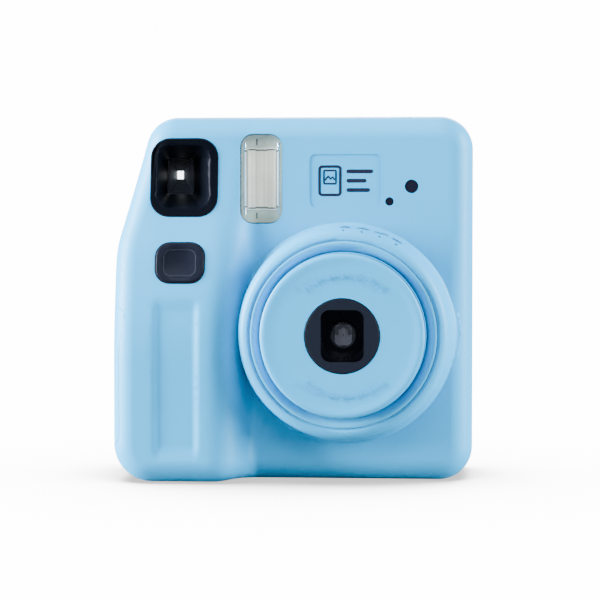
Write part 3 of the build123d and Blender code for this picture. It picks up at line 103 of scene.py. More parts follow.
class Look:
    """A principled node material under construction, textured in the camera's own frame."""

    def __init__(self, name, colour, roughness, metallic=0.0):
        self.material = bpy.data.materials.new(name)
        self.material.use_nodes = True
        self.tree = self.material.node_tree
        self.shader = self.tree.nodes["Principled BSDF"]
        self.colour = colour
        self.set("Base Color", colour)
        self.set("Roughness", roughness)
        self.set("Metallic", metallic)
        self.coordinates = self.tree.nodes.new("ShaderNodeTexCoord")

    def set(self, name, value):
        self.shader.inputs[name].default_value = value

    def link(self, source, target):
        self.tree.links.new(source, target)

    def stretched(self, stretch):
        mapping = self.tree.nodes.new("ShaderNodeMapping")
        mapping.inputs["Scale"].default_value = stretch
        self.link(self.coordinates.outputs["Object"], mapping.inputs["Vector"])
        return mapping.outputs["Vector"]

    def noise(self, per_metre, detail=2.0, stretch=(1, 1, 1)):
        texture = self.tree.nodes.new("ShaderNodeTexNoise")
        texture.inputs["Scale"].default_value = per_metre
        texture.inputs["Detail"].default_value = detail
        self.link(self.stretched(stretch), texture.inputs["Vector"])
        return texture.outputs["Fac"]

    def spread(self, factor, low, high):
        """Maps a noise's usual values onto a range."""
        ranger = self.tree.nodes.new("ShaderNodeMapRange")
        ranger.inputs["From Min"].default_value = NOISE_LOW
        ranger.inputs["From Max"].default_value = NOISE_HIGH
        ranger.inputs["To Min"].default_value = low
        ranger.inputs["To Max"].default_value = high
        self.link(factor, ranger.inputs["Value"])
        return ranger.outputs["Result"]

    def mix(self, factor, first, second):
        mixer = self.tree.nodes.new("ShaderNodeMix")
        mixer.data_type = "RGBA"
        for socket, value in (("A", first), ("B", second)):
            target = next(i for i in mixer.inputs if i.name == socket and i.type == "RGBA")
            if isinstance(value, tuple):
                target.default_value = value
            else:
                self.link(value, target)
        if isinstance(factor, float):
            mixer.inputs["Factor"].default_value = factor
        else:
            self.link(factor, mixer.inputs["Factor"])
        return next(o for o in mixer.outputs if o.type == "RGBA")

    def mottle(self, per_metre, amount):
        """Slow colour drift, as moulded parts have: the colour varies by an amount either way."""
        lighter = tuple(min(1, c * (1 + amount)) for c in self.colour[:3]) + (1,)
        darker = tuple(c * (1 - amount) for c in self.colour[:3]) + (1,)
        colour = self.mix(self.spread(self.noise(per_metre), 0, 1), darker, lighter)
        self.link(colour, self.shader.inputs["Base Color"])
        return colour

    def rough(self, per_metre, low, high, stretch=(1, 1, 1)):
        value = self.spread(self.noise(per_metre, 3.0, stretch), low, high)
        self.link(value, self.shader.inputs["Roughness"])

    def bump(self, height, distance, strength=1.0):
        bumper = self.tree.nodes.new("ShaderNodeBump")
        bumper.inputs["Distance"].default_value = distance
        bumper.inputs["Strength"].default_value = strength
        self.link(height, bumper.inputs["Height"])
        self.link(bumper.outputs["Normal"], self.shader.inputs["Normal"])

    def grain(self, per_metre, depth, strength=1.0, stretch=(1, 1, 1)):
        self.bump(self.noise(per_metre, 3.0, stretch), depth, strength)


# ---------------------------------------------------------------- materials, one function for each kind
def moulded(name, colour, roughness, grain=2600, depth=0.02 * MM, drift=0.02, scatter=0.0, gloss=0.5):
    """Injection-moulded plastic with a fine spark-eroded grain."""
    look = Look(name, colour, roughness)
    look.mottle(22, drift)
    look.rough(900, roughness - 0.05, roughness + 0.06)
    look.grain(grain, depth, 0.35)
    look.set("IOR", 1.49)
    look.set("Specular IOR Level", gloss)
    if scatter:
        look.set("Subsurface Weight", scatter)
        look.set("Subsurface Radius", (0.6, 0.9, 1.0))
        look.set("Subsurface Scale", 1.2 * MM)
    return look


def clear(name, colour, opacity, roughness=0.06):
    """Clear moulded plastic or glass: thin, so it is mostly see-through, with a faint tint and gloss."""
    look = Look(name, colour, roughness)
    look.mottle(60, 0.02)
    look.rough(700, max(roughness - 0.03, 0), roughness + 0.03)
    look.set("Alpha", opacity)
    return look


def metal(name, colour, roughness, brush=(1, 1, 1)):
    """Metal with a directional brushing; the stretch says which way the scratches don't run."""
    look = Look(name, colour, roughness, 1.0)
    look.mottle(60, 0.05)
    look.rough(400, roughness - 0.07, roughness + 0.1, brush)
    look.grain(500, 0.01 * MM, 0.3, brush)
    return look


SKY = (0.008, 0.335, 0.6, 1)

MATERIALS = {
    "body_blue": moulded("body_blue", SKY, 0.42, scatter=0.03, gloss=0.2),
    "lens_blue": moulded("lens_blue", SKY, 0.4, scatter=0.03, gloss=0.2),
    "door_blue": moulded("door_blue", SKY, 0.44, scatter=0.03, gloss=0.2),
    "black_plastic": moulded(
        "black_plastic", (0.007, 0.008, 0.012, 1), 0.5, 1800, 0.01 * MM, 0.1, gloss=0.1
    ),
    "black_gloss": moulded(
        "black_gloss", (0.0018, 0.0024, 0.004, 1), 0.34, 2600, 0.002 * MM, 0.1, gloss=0.02
    ),
    "charcoal_button": moulded(
        "charcoal_button", (0.0062, 0.0072, 0.0115, 1), 0.34, 2600, 0.002 * MM, 0.08, gloss=0.05
    ),
    "clear_plastic": clear("clear_plastic", (0.5, 0.52, 0.55, 1), 0.08),
    "frosted_plastic": clear("frosted_plastic", (0.6, 0.66, 0.55, 1), 0.05, 0.25),
    "smoked_plastic": moulded(
        "smoked_plastic", (0.006, 0.006, 0.012, 1), 0.14, 900, 0.001 * MM, 0.1, gloss=0.2
    ),
    "lens_glass": clear("lens_glass", (0.05, 0.06, 0.08, 1), 0.15, 0.05),
    "steel": metal("steel", (0.62, 0.62, 0.63, 1), 0.28, (1, 1, 12)),
    "spring_steel": metal("spring_steel", (0.5, 0.5, 0.52, 1), 0.3),
    "screw_steel": metal("screw_steel", (0.18, 0.18, 0.19, 1), 0.34),
    "roller_steel": metal("roller_steel", (0.6, 0.6, 0.62, 1), 0.3, (14, 1, 1)),
    "gear_nylon": moulded("gear_nylon", srgb(226, 222, 208), 0.42, 1400, 0.02 * MM, 0.03, 0.1),
    "brass_gear": metal("brass_gear", (0.72, 0.52, 0.22, 1), 0.28),
    "bush_nylon": moulded("bush_nylon", srgb(205, 200, 186), 0.45, 1400, 0.02 * MM, 0.03),
    "motor_can": metal("motor_can", (0.58, 0.58, 0.58, 1), 0.36, (1, 8, 8)),
    "reflector_metal": metal("reflector_metal", (0.9, 0.9, 0.9, 1), 0.14, (1, 1, 10)),
    "flash_glass": clear("flash_glass", (0.8, 0.82, 0.85, 1), 0.3),
    "amber_lamp": moulded("amber_lamp", srgb(190, 110, 40), 0.3, 900, 0.005 * MM, 0.05, 0.3),
    "board_green": moulded("board_green", srgb(22, 92, 52), 0.32, 800, 0.03 * MM, 0.18),
    "cell_wrap": moulded("cell_wrap", srgb(36, 40, 46), 0.3, 300, 0.02 * MM, 0.1),
    "capacitor_wrap": moulded("capacitor_wrap", srgb(20, 26, 46), 0.28, 300, 0.02 * MM, 0.1),
    "contact_metal": metal("contact_metal", (0.72, 0.71, 0.68, 1), 0.26, (8, 1, 1)),
    "foam": moulded("foam", srgb(20, 20, 20), 0.95, 2400, 0.25 * MM, 0.25),
    "film_white": moulded("film_white", srgb(240, 240, 236), 0.5, 900, 0.01 * MM, 0.01),
    "film_black": moulded("film_black", srgb(24, 24, 26), 0.5, 1500, 0.03 * MM, 0.08),
    "counter_ink": moulded("counter_ink", srgb(232, 232, 226), 0.5, 900, 0.01 * MM, 0.02),
    "copper_coil": metal("copper_coil", (0.6, 0.27, 0.14, 1), 0.35, (1, 20, 1)),
}

# ---------------------------------------------------------------- materials on the carried-over parts
for entry in frame["record"]["subparts"]:
    part = frame["nodes"][entry["node"]]
    part.data.materials.clear()
    part.data.materials.append(MATERIALS[entry["material_slot"]].material)

DIAL_BLUE = moulded("dial_blue", (0.02, 0.36, 0.6, 1), 0.4, gloss=0.2)
HOOD = moulded("hood_charcoal", (0.0075, 0.009, 0.0135, 1), 0.4, 2600, 0.002 * MM, 0.08, gloss=0.06)
for node, look in (
    ("exposure_dial", DIAL_BLUE),
    ("lens_hood_ring", HOOD),
    ("lens_cell", MATERIALS["black_gloss"]),
    ("lens_retainer", MATERIALS["black_gloss"]),
):
    frame["nodes"][node].data.materials[0] = look.material

# ---------------------------------------------------------------- the moulded form, for exact shading
FRONT_LOW, FRONT_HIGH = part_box("front_cover")
HALF = FRONT_HIGH.x
TOP = FRONT_HIGH.z
BACK_Y = 28 * MM
FRONT_ROUND = 7.5 * MM
BACK_ROUND = 7 * MM
GRIP_RISE = FACE_Y - FRONT_LOW.y - 0.3 * MM
GRIP_FADE = (40 * MM, 115 * MM)
DIMPLE = 0.9 * MM
DIMPLE_X = (-46.5 * MM, -43 * MM, -33 * MM, -29.5 * MM)
DIMPLE_Z = (7 * MM, 62 * MM)
DIMPLE_RAMP = 6 * MM
FLANK_X = (-28 * MM, -15.5 * MM, -17.5 * MM, -12 * MM)
ON_FORM = 0.4 * MM  # how near the form a point takes the form's normal
OUTLINE = (  # corner x, corner z, corner radius
    (-HALF, 0, 12.7 * MM),
    (HALF, 0, 11.3 * MM),
    (HALF, TOP, 11 * MM),
    (-47.6 * MM, TOP, 11 * MM),
    (-HALF, 77.3 * MM, 40 * MM),
)
STEPS = np.linspace(0, 1, 200)
ARC_STEPS = 32
LINE_STEPS = 200


def smooth(value, low, high):
    t = np.clip((value - low) / (high - low), 0, 1)
    return t * t * (3 - 2 * t)


def bezier(a, b, c, d):
    back = 1 - STEPS
    return a * back**3 + 3 * b * STEPS * back**2 + 3 * c * STEPS**2 * back + d * STEPS**3


def eased(x, a, b, c, d):
    """How far along a curve with those four control places x has come, as a height share from 0 to 1."""
    return smooth(np.interp(x, bezier(a, b, c, d), STEPS), 0, 1)


def front_surface(x, z):
    """Y of the front of the body at a place in the front view: panel, flank, grip and finger recess."""
    bulge = 0.3 * MM + GRIP_RISE * (1 - smooth(z, *GRIP_FADE))
    dip = DIMPLE * np.minimum(
        smooth(z, DIMPLE_Z[0], DIMPLE_Z[0] + DIMPLE_RAMP),
        1 - smooth(z, DIMPLE_Z[1] - DIMPLE_RAMP, DIMPLE_Z[1]),
    )
    left, floor_left, floor_right, right = DIMPLE_X
    ease = (floor_left - left) / 2
    into = eased(x, left, left + ease, left + ease, floor_left)
    out = eased(x, floor_right, floor_right + ease, floor_right + ease, right)
    return FACE_Y - bulge * (1 - eased(x, *FLANK_X)) + dip * (into - out)


def outline_samples():
    """Points along the rounded outline with their outward normals, or the centre of the arc they lie on."""
    samples = []
    corners = [np.array(c[:2]) for c in OUTLINE]
    count = len(corners)
    ends = []
    for index, here in enumerate(corners):
        radius = OUTLINE[index][2]
        back = corners[index - 1] - here
        onward = corners[(index + 1) % count] - here
        back /= np.linalg.norm(back)
        onward /= np.linalg.norm(onward)
        half_angle = acos(float(back @ onward)) / 2
        inward = (back + onward) / np.linalg.norm(back + onward)
        centre = here + inward * radius / sin(half_angle)
        reach = radius / tan(half_angle)
        start = atan2(*(here + back * reach - centre)[::-1])
        sweep = pi - 2 * half_angle
        for step in range(ARC_STEPS + 1):
            angle = start + sweep * step / ARC_STEPS
            point = centre + radius * np.array((cos(angle), sin(angle)))
            samples.append((point, centre, None))
        ends.append((here + back * reach, here + onward * reach))
    for index in range(count):
        start, end = ends[index][1], ends[(index + 1) % count][0]
        along = (end - start) / np.linalg.norm(end - start)
        normal = np.array((along[1], -along[0]))
        for step in range(1, LINE_STEPS):
            samples.append((start + (end - start) * step / LINE_STEPS, None, normal))
    return samples


def body_normals(points):
    """Outward normals of the moulded form at points near it, and how far off the form each point is."""
    samples = outline_samples()
    tree = KDTree(len(samples))
    for index, (place, _, _) in enumerate(samples):
        tree.insert((place[0], 0, place[1]), index)
    tree.balance()
    sides = np.zeros_like(points)
    inside = np.zeros(len(points))
    for row, point in enumerate(points):
        flat = np.array((point[0], point[2]))
        place, centre, normal = samples[tree.find((flat[0], 0, flat[1]))[1]]
        if centre is not None:
            normal = (flat - centre) / max(np.linalg.norm(flat - centre), 1e-9)
        sides[row] = (normal[0], 0, normal[1])
        inside[row] = (place - flat) @ normal
    x, y, z = points.T
    reach = 0.05 * MM
    slope_x = (front_surface(x + reach, z) - front_surface(x - reach, z)) / (2 * reach)
    slope_z = (front_surface(x, z + reach) - front_surface(x, z - reach)) / (2 * reach)
    fronts = np.stack((slope_x, -np.ones_like(x), slope_z), 1)
    length = np.linalg.norm(fronts, axis=1, keepdims=True)
    fronts /= length
    depth = (y - front_surface(x, z)) / length[:, 0]
    forward = y < 0
    radius = np.where(forward, FRONT_ROUND, BACK_ROUND)
    depth = np.where(forward, depth, BACK_Y - y)
    faces = np.where(forward[:, None], fronts, np.array((0, 1, 0)))
    side_share = np.maximum(radius - inside, 0)
    face_share = np.maximum(radius - depth, 0)
    normals = sides * side_share[:, None] + faces * face_share[:, None]
    normals /= np.maximum(np.linalg.norm(normals, axis=1, keepdims=True), 1e-9)
    return normals, np.abs(radius - np.hypot(side_share, face_share))


def smoothed(node, sharp=28, follow_form=False):
    """A copy of a CAD part that stands for it, with its facets joined and shaded smooth.

    Parts of the body's outer form get that form's exact normals where they lie on it.
    """
    source = frame["nodes"][node]
    mesh = source.data.copy()
    joined = bmesh.new()
    joined.from_mesh(mesh)
    bmesh.ops.remove_doubles(joined, verts=joined.verts, dist=0.002 * MM)
    joined.to_mesh(mesh)
    joined.free()
    mesh.shade_smooth()
    mesh.set_sharp_from_angle(angle=radians(sharp))
    if follow_form:
        corners = np.array([tuple(n.vector) for n in mesh.corner_normals])
        vertices = np.array([tuple(v.co) for v in mesh.vertices])
        normals, off = body_normals(vertices)
        for polygon in mesh.polygons:
            face_normal = np.array(polygon.normal)
            for loop in polygon.loop_indices:
                vertex = mesh.loops[loop].vertex_index
                if off[vertex] < ON_FORM and normals[vertex] @ face_normal > 0.8:
                    corners[loop] = normals[vertex]
        mesh.normals_split_custom_set(corners.tolist())
    shell = bpy.data.objects.new(node + "_skin", mesh)
    if not follow_form:  # flat faces stay flat up to their rounded edges
        even = shell.modifiers.new("even_normals", "WEIGHTED_NORMAL")
        even.keep_sharp = True
        even.weight = 90
    bpy.context.scene.collection.objects.link(shell)
    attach(shell, source["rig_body"])
    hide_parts(node)
    return shell


for name in ("front_cover", "rear_cover", "battery_door"):
    smoothed(name, follow_form=True)
for name in (
    "film_door",
    "lens_front_disc",
    "exposure_dial",
    "lens_hood_ring",
    "lens_cell",
    "viewfinder_bezel",
    "shutter_button",
    "flash_window",
    "eyepiece_bezel",
    "door_latch",
    "lens_barrel",
):
    smoothed(name)

# ---------------------------------------------------------------- fine detail: helpers
def finish(name, builder, look, body, smooth_below=None):
    """Turns a bmesh into a piece with its material, carried by a body."""
    bmesh.ops.recalc_face_normals(builder, faces=builder.faces)
    mesh = bpy.data.meshes.new(name)
    builder.to_mesh(mesh)
    builder.free()
    if smooth_below:
        mesh.shade_smooth()
        mesh.set_sharp_from_angle(angle=radians(smooth_below))
    mesh.materials.append(look.material)
    piece = bpy.data.objects.new(name, mesh)
    bpy.context.scene.collection.objects.link(piece)
    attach(piece, body)
    return piece


def rounded(width, height, radius, middle_at=(0, 0), steps=8):
    """Outline of a rounded rectangle, counter-clockwise, in millimetres."""
    points = []
    for side_x, side_z, start in ((1, 1, 0), (-1, 1, 90), (-1, -1, 180), (1, -1, 270)):
        for step in range(steps + 1):
            angle = radians(start + 90 * step / steps)
            across = middle_at[0] + side_x * (width / 2 - radius) + radius * cos(angle)
            points.append((across, middle_at[1] + side_z * (height / 2 - radius) + radius * sin(angle)))
    return points


def circle(radius, middle_at=(0, 0), steps=24):
    turns = [2 * pi * step / steps for step in range(steps)]
    return [(middle_at[0] + radius * cos(t), middle_at[1] + radius * sin(t)) for t in turns]


def add_plate(builder, outline, place, low, high):
    """A flat plate over an outline, between two heights above the surface that place() lays it on."""
    bottom = [builder.verts.new(place(u, v, low)) for u, v in outline]
    top = [builder.verts.new(place(u, v, high)) for u, v in outline]
    builder.faces.new(top)
    builder.faces.new(bottom[::-1])
    for index in range(len(outline)):
        after = (index + 1) % len(outline)
        builder.faces.new((bottom[index], bottom[after], top[after], top[index]))


def add_frame(builder, outer, inner, place, low, high):
    """A flat frame between two outlines that have the same number of points."""
    rings = [
        [builder.verts.new(place(u, v, level)) for u, v in outline]
        for outline, level in ((outer, low), (outer, high), (inner, high), (inner, low))
    ]
    for index in range(len(outer)):
        after = (index + 1) % len(outer)
        for ring in range(4):
            beyond = rings[(ring + 1) % 4]
            builder.faces.new((rings[ring][index], rings[ring][after], beyond[after], beyond[index]))


def add_stroke(builder, line, width, place, low, high, closed=False):
    """A drawn line of even width, raised from the surface."""
    points = [Vector(point) for point in line]
    count = len(points)
    rows = []
    for index, point in enumerate(points):
        before = points[index - 1] if index or closed else None
        after = points[(index + 1) % count] if index < count - 1 or closed else None
        arrive = (point - before).normalized() if before is not None else (after - point).normalized()
        leave = (after - point).normalized() if after is not None else arrive
        along = (arrive + leave).normalized()
        offset = Vector((-along.y, along.x)) * width / 2 / max(along.dot(leave), 0.5)
        left, right = point + offset, point - offset
        corners = ((left, high), (right, high), (right, low), (left, low))
        rows.append([builder.verts.new(place(corner.x, corner.y, level)) for corner, level in corners])
    for index in range(count if closed else count - 1):
        here, there = rows[index], rows[(index + 1) % count]
        for side in range(4):
            builder.faces.new((here[side], here[(side + 1) % 4], there[(side + 1) % 4], there[side]))
    if not closed:
        builder.faces.new(rows[0][::-1])
        builder.faces.new(rows[-1])


def on_plane(x, y, z, facing=-1):
    """Lays drawings on a plane parallel to the front, centred on a place; heights rise toward the viewer."""
    turn = 1 if facing < 0 else -1

    def place(across, up, height):
        return (x + turn * across * MM, y + facing * height * MM, z + up * MM)

    return place


def revolve(builder, profile, steps=128):
    """Turns a closed profile of (radius, y) points about the lens axis."""
    rings = []
    for radius, y in profile:
        ring = []
        for step in range(steps):
            angle = 2 * pi * step / steps
            ring.append(builder.verts.new((LENS.x + radius * cos(angle), y, LENS.z + radius * sin(angle))))
        rings.append(ring)
    for index, ring in enumerate(rings):
        beyond = rings[(index + 1) % len(rings)]
        for step in range(steps):
            after = (step + 1) % steps
            builder.faces.new((ring[step], ring[after], beyond[after], beyond[step]))


# ---------------------------------------------------------------- fine detail: printed and moulded marks
# drawings are in millimetres; a layer says from which height to which height a drawing reaches
PRINTED = (-0.02, 0.05)
PRINTED_THICK = (-0.02, 0.07)
MOULDED = (-0.03, 0.13)

INK = moulded("ink_navy", (0.006, 0.008, 0.02, 1), 0.5, 900, 0.005 * MM, 0.1)
INK.set("Specular IOR Level", 0.15)
ICON_INK = moulded("icon_ink", (0.006, 0.05, 0.12, 1), 0.5, 900, 0.005 * MM, 0.1)

# a plain pictogram of a print with three lines beside it, in the badge recess
BADGE_Z = 100 * MM
BADGE_FLOOR = FACE_Y + 0.25 * MM
PRINT_FRAME = rounded(6.9, 9.4, 0.9, (-5.1, 0))
PICTURE_FRAME = rounded(4.0, 4.4, 0.3, (-5.1, 1.2))
HILLS = [(-6.8, 0.1), (-5.7, 1.5), (-4.9, 0.6), (-4.2, 1.2), (-3.5, 0.3)]
LINES = ((8.8, 3.1), (6.6, 0.0), (7.8, -3.1))  # length of each line and how far up it is
LINE_START = 0.4
LINE_THICKNESS = 1.25

badge_place = on_plane(LENS.x, BADGE_FLOOR, BADGE_Z)
badge = bmesh.new()
add_stroke(badge, PRINT_FRAME, 0.85, badge_place, *PRINTED, closed=True)
add_stroke(badge, PICTURE_FRAME, 0.55, badge_place, *PRINTED, closed=True)
add_stroke(badge, HILLS, 0.45, badge_place, *PRINTED)
for length, up in LINES:
    line_middle = (LINE_START + length / 2, up)
    add_plate(badge, rounded(length, LINE_THICKNESS, 0.6, line_middle), badge_place, *PRINTED)
finish("badge_pictogram", badge, INK, "case")

# exposure symbols printed round the steep outer side of the lens surround
SYMBOL_ANGLES = (0.5, 10.2, 19.8, 29.4)
SYMBOL_FRONT = -2.2  # the front end of a symbol in its own drawing
SYMBOL_LENGTH = 3.2
SYMBOL_STRETCH = 1.25
SIDE_RADIUS = 34.95  # the surround's side where a symbol starts, its growth and its run to the back
SIDE_GROWTH = 0.62
SIDE_FRONT = -28.2
SIDE_RUN = 4.4
SYMBOL_RADIUS = 35.3


def on_surround(angle):
    """Lays a drawing on the steep side of the lens surround at an angle from the top."""

    def place(across, up, height):
        back = (up - SYMBOL_FRONT) / SYMBOL_LENGTH
        radius = SIDE_RADIUS + SIDE_GROWTH * back + height
        turn = radians(angle) + SYMBOL_STRETCH * across / SYMBOL_RADIUS
        return (
            LENS.x + radius * sin(turn) * MM,
            (SIDE_FRONT + SIDE_RUN * back) * MM,
            LENS.z + radius * cos(turn) * MM,
        )

    return place


def add_sun(builder, place, middle_at, core, count, first):
    """A sun's disc with a number of rays an eighth of a turn apart, from a first angle."""
    add_plate(builder, circle(core, middle_at, 16), place, -0.02, 0.08)
    for ray in range(count):
        turn = radians(first + 45 * ray)
        ends = []
        for reach in (core + 0.2, core + 0.9):
            ends.append((middle_at[0] + reach * cos(turn), middle_at[1] + reach * sin(turn)))
        add_stroke(builder, ends, 0.42, place, *PRINTED)


HOUSE = [(-1.3, -1.2), (-1.3, 0.2), (0, 1.3), (1.3, 0.2), (1.3, -1.2)]
CLOUD = [
    (-1.4, -0.9), (-1.75, -0.4), (-1.45, 0.15), (-0.95, 0.25), (-0.6, 0.8), (0.1, 0.95),
    (0.65, 0.5), (1.2, 0.45), (1.7, 0.0), (1.6, -0.6), (1.15, -0.9),
]
SMALL_CLOUD = [(0.75 * u - 0.45, 0.75 * v - 0.4) for u, v in CLOUD]
symbols = bmesh.new()
home, cloudy, bright, sunny = (on_surround(angle) for angle in SYMBOL_ANGLES)
add_plate(symbols, HOUSE, home, *PRINTED_THICK)
add_plate(symbols, CLOUD, cloudy, *PRINTED_THICK)
add_plate(symbols, SMALL_CLOUD, bright, *PRINTED_THICK)
add_sun(symbols, bright, (0.95, 0.5), 0.35, 4, -20)
add_sun(symbols, sunny, (0, 0), 0.7, 8, 0)
finish("exposure_symbols", symbols, ICON_INK, "case")

# low raised ticks at the top and bottom of the disc; every third one is longer
TICK_STEP = 4.4  # degrees
TICKS_EACH_WAY = 9
LONG_TICK = (18.7, 20.7)  # inner and outer radius
SHORT_TICK = (19.2, 20.2)
TICK_WIDTH = 0.55

disc_place = on_plane(LENS.x, DISC_FRONT, LENS.z)
ticks = bmesh.new()
for side in (1, -1):
    for index in range(-TICKS_EACH_WAY, TICKS_EACH_WAY + 1):
        turn = radians(90 * side + index * TICK_STEP)
        radii = SHORT_TICK if index % 3 else LONG_TICK
        add_stroke(ticks, [(r * cos(turn), r * sin(turn)) for r in radii], TICK_WIDTH, disc_place, *MOULDED)
finish("disc_scale_ticks", ticks, MATERIALS["lens_blue"], "lens")

# blue rings deep in the two round gaps of the front, as the parts' own flanges close them
GAP_FLOOR = -29.0


def gap_ring(name, inner, outer, front, look, body):
    """A ring about the lens axis between two radii, from a front y to the floor of the gaps."""
    profile = ((inner, front), (outer, front), (outer, GAP_FLOOR), (inner, GAP_FLOOR))
    ring = bmesh.new()
    revolve(ring, [(radius * MM, y * MM) for radius, y in profile])
    finish(name, ring, look, body, 40)


gap_ring("lens_skirt", 26.85, 27.22, -33.0, MATERIALS["lens_blue"], "lens")
gap_ring("dial_seal_ring", 30.92, 31.23, -32.05, MATERIALS["body_blue"], "case")

# shutter button: a fine raised line inside its edge, on the tilted face, lighter than the button as a
# painted highlight on its rim, and a dark frame deep in the gap round it as painted shade
BUTTON = Vector((-37.1 * MM, 0, 72.8 * MM))
BUTTON.y = front_surface(BUTTON.x, BUTTON.z)
BUTTON_TILT = radians(14)
AHEAD = -0.1  # a place well in front of the camera, in metres
button_mesh = frame["nodes"]["shutter_button"].data
button_form = BVHTree.FromPolygons(
    [vertex.co for vertex in button_mesh.vertices], [tuple(face.vertices) for face in button_mesh.polygons]
)


def on_button(across, up, height):
    """Lays drawings on the hollowed face of the shutter button."""
    eye = Vector((BUTTON.x + across * MM, AHEAD, BUTTON.z + up * MM))
    place, normal = button_form.ray_cast(eye, Vector((0, 1, 0)))[:2]
    return place + normal * height * MM


def round_button(across, up, height):
    """Lays drawings on the tilted plane that the button's face lies on."""
    normal = Vector((0, -cos(BUTTON_TILT), sin(BUTTON_TILT)))
    rise = Vector((0, sin(BUTTON_TILT), cos(BUTTON_TILT)))
    return BUTTON + (Vector((across, 0, 0)) + rise * up + normal * height) * MM


# painted shade: a black frame deep in the gap so the gap reads dark
gap_shade = bmesh.new()
add_frame(gap_shade, rounded(16.8, 14.2, 5.05), rounded(16.0, 13.4, 4.65), round_button, -1.5, 0.03)
finish("button_gap_shade", gap_shade, MATERIALS["black_plastic"], "case")
# the raised rim line is real; its lighter colour is a painted highlight
BUTTON_RIM_HIGHLIGHT = moulded("button_rim_highlight", (0.013, 0.015, 0.021, 1), 0.4, 900, 0.005 * MM, 0.1, gloss=0.1)
button_rim_highlight = bmesh.new()
add_stroke(button_rim_highlight, rounded(10.6, 8.6, 2.4), 0.34, on_button, -0.05, 0.04, closed=True)
finish("button_rim_line_highlight", button_rim_highlight, BUTTON_RIM_HIGHLIGHT, frame["nodes"]["shutter_button"]["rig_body"])

# viewfinder: a dark frame deep in the gap round its bezel, as painted shade
BEZEL_X = -36.4 * MM
BEZEL_Z = 101.1 * MM


def round_bezel(across, up, height):
    """Lays drawings on the body's front surface, round the middle of the viewfinder's bezel."""
    x, z = BEZEL_X + across * MM, BEZEL_Z + up * MM
    return (x, front_surface(x, z) - height * MM, z)


bezel_gap_shade = bmesh.new()
add_frame(bezel_gap_shade, rounded(22.75, 26.35, 6.5), rounded(22.0, 25.6, 6.15), round_bezel, -1.2, 0.02)
finish("viewfinder_gap_shade", bezel_gap_shade, MATERIALS["black_plastic"], "case")

# ---------------------------------------------------------------- fine detail: flash
PANEL_HALF = (4.75, 9.5)  # half the ribbed panel's width and height
RIBS = 26
RIB_WIDTH = 2 * PANEL_HALF[0] / RIBS
RIB_GAP = 0.05
RIB_HEIGHTS = (0.1, 0.17, 0.13)
CROSS_RIBS = (-3.1, 3.3)
BAR_X = 5.35  # the bright bars beside the panel
BEAD_Z = 9.3  # small dark beads on the bars' ends
WAVE_Z = 9.75  # dark line with a step at both ends, above and below the panel

flash_place = on_plane(FLASH.x, FLASH_HIGH.y + 0.36 * MM, FLASH.z)
UPRIGHT = (1, 1, 0.012)  # noise stretched into vertical streaks
# the ribbed panel: streaked colour, with a painted glow added on top
FLASH_PANEL_GLOW = Look("flash_panel_glow", (0.6, 0.55, 0.44, 1), 0.35)
streaks = FLASH_PANEL_GLOW.spread(FLASH_PANEL_GLOW.noise(900, 2.0, UPRIGHT), 0, 1)
panel_colour = FLASH_PANEL_GLOW.mix(streaks, (0.34, 0.31, 0.24, 1), (1, 0.93, 0.76, 1))
blotches = FLASH_PANEL_GLOW.spread(FLASH_PANEL_GLOW.noise(160, 2.0, (0.25, 1, 1)), 0, 0.4)
panel_colour = FLASH_PANEL_GLOW.mix(blotches, panel_colour, (0.26, 0.25, 0.2, 1))
FLASH_PANEL_GLOW.link(panel_colour, FLASH_PANEL_GLOW.shader.inputs["Base Color"])
FLASH_PANEL_GLOW.grain(420, 0.05 * MM, 0.5, (1, 1, 0.02))
FLASH_PANEL_GLOW.set("Emission Color", (1, 0.95, 0.72, 1))  # painted glow that brightens the panel, standing in for light the reflector behind sends back
FLASH_PANEL_GLOW.set("Emission Strength", 0.4)
FLASH_FROST = moulded("flash_frost", (0.44, 0.47, 0.34, 1), 0.4, 500, 0.05 * MM, 0.12)
FLASH_FROST.mottle(380, 0.14)
FLASH_WHITE = moulded("flash_white", (0.95, 0.9, 0.8, 1), 0.35, 900, 0.01 * MM, 0.02)
FLASH_DARK = moulded("flash_dark", (0.035, 0.033, 0.024, 1), 0.4, 900, 0.01 * MM, 0.1)

backing = bmesh.new()
add_plate(backing, rounded(13.6, 29.2, 3.8, steps=12), flash_place, -0.25, -0.05)
finish("flash_frosted_back", backing, FLASH_FROST, "case")

panel = bmesh.new()
for rib in range(RIBS):
    left = RIB_WIDTH * rib - PANEL_HALF[0]
    right = left + RIB_WIDTH - RIB_GAP
    low, high = -PANEL_HALF[1], PANEL_HALF[1]
    rib_outline = [(left, low), (right, low), (right, high), (left, high)]
    add_plate(panel, rib_outline, flash_place, -0.1, RIB_HEIGHTS[rib % 3])
for up in CROSS_RIBS:
    add_plate(panel, rounded(9.4, 0.35, 0.15, (0, up), 3), flash_place, 0.05, 0.19)
finish("flash_ribbed_panel", panel, FLASH_PANEL_GLOW, "case")

bars = bmesh.new()
for side in (-1, 1):
    add_plate(bars, rounded(0.62, 19.2, 0.2, (side * BAR_X, 0), 3), flash_place, 0, 0.22)
for side in (-1, 1):
    add_plate(bars, rounded(10.4, 0.3, 0.1, (0, side * 10.2), 3), flash_place, 0, 0.2)
finish("flash_side_bars", bars, FLASH_WHITE, "case")

marks = bmesh.new()
for side in (-1, 1):
    add_plate(marks, rounded(0.26, 18.6, 0.05, (side * 4.9, 0), 2), flash_place, 0.02, 0.24)
    add_plate(marks, rounded(0.12, 19.4, 0.05, (side * 5.85, 0), 2), flash_place, 0.0, 0.12)
    wave = [(u / 4, side * (WAVE_Z - (0.3 if abs(u) < 9 else 0.0))) for u in range(-17, 18, 2)]
    add_stroke(marks, wave, 0.32, flash_place, 0.02, 0.26)
    add_plate(marks, rounded(0.5, 2.2, 0.2, (-1.6, side * 12.3), 3), flash_place, -0.05, 0.03)
    for other in (-1, 1):
        add_plate(marks, circle(0.32, (side * BAR_X, other * BEAD_Z), 12), flash_place, 0.1, 0.26)
finish("flash_marks", marks, FLASH_DARK, "case")

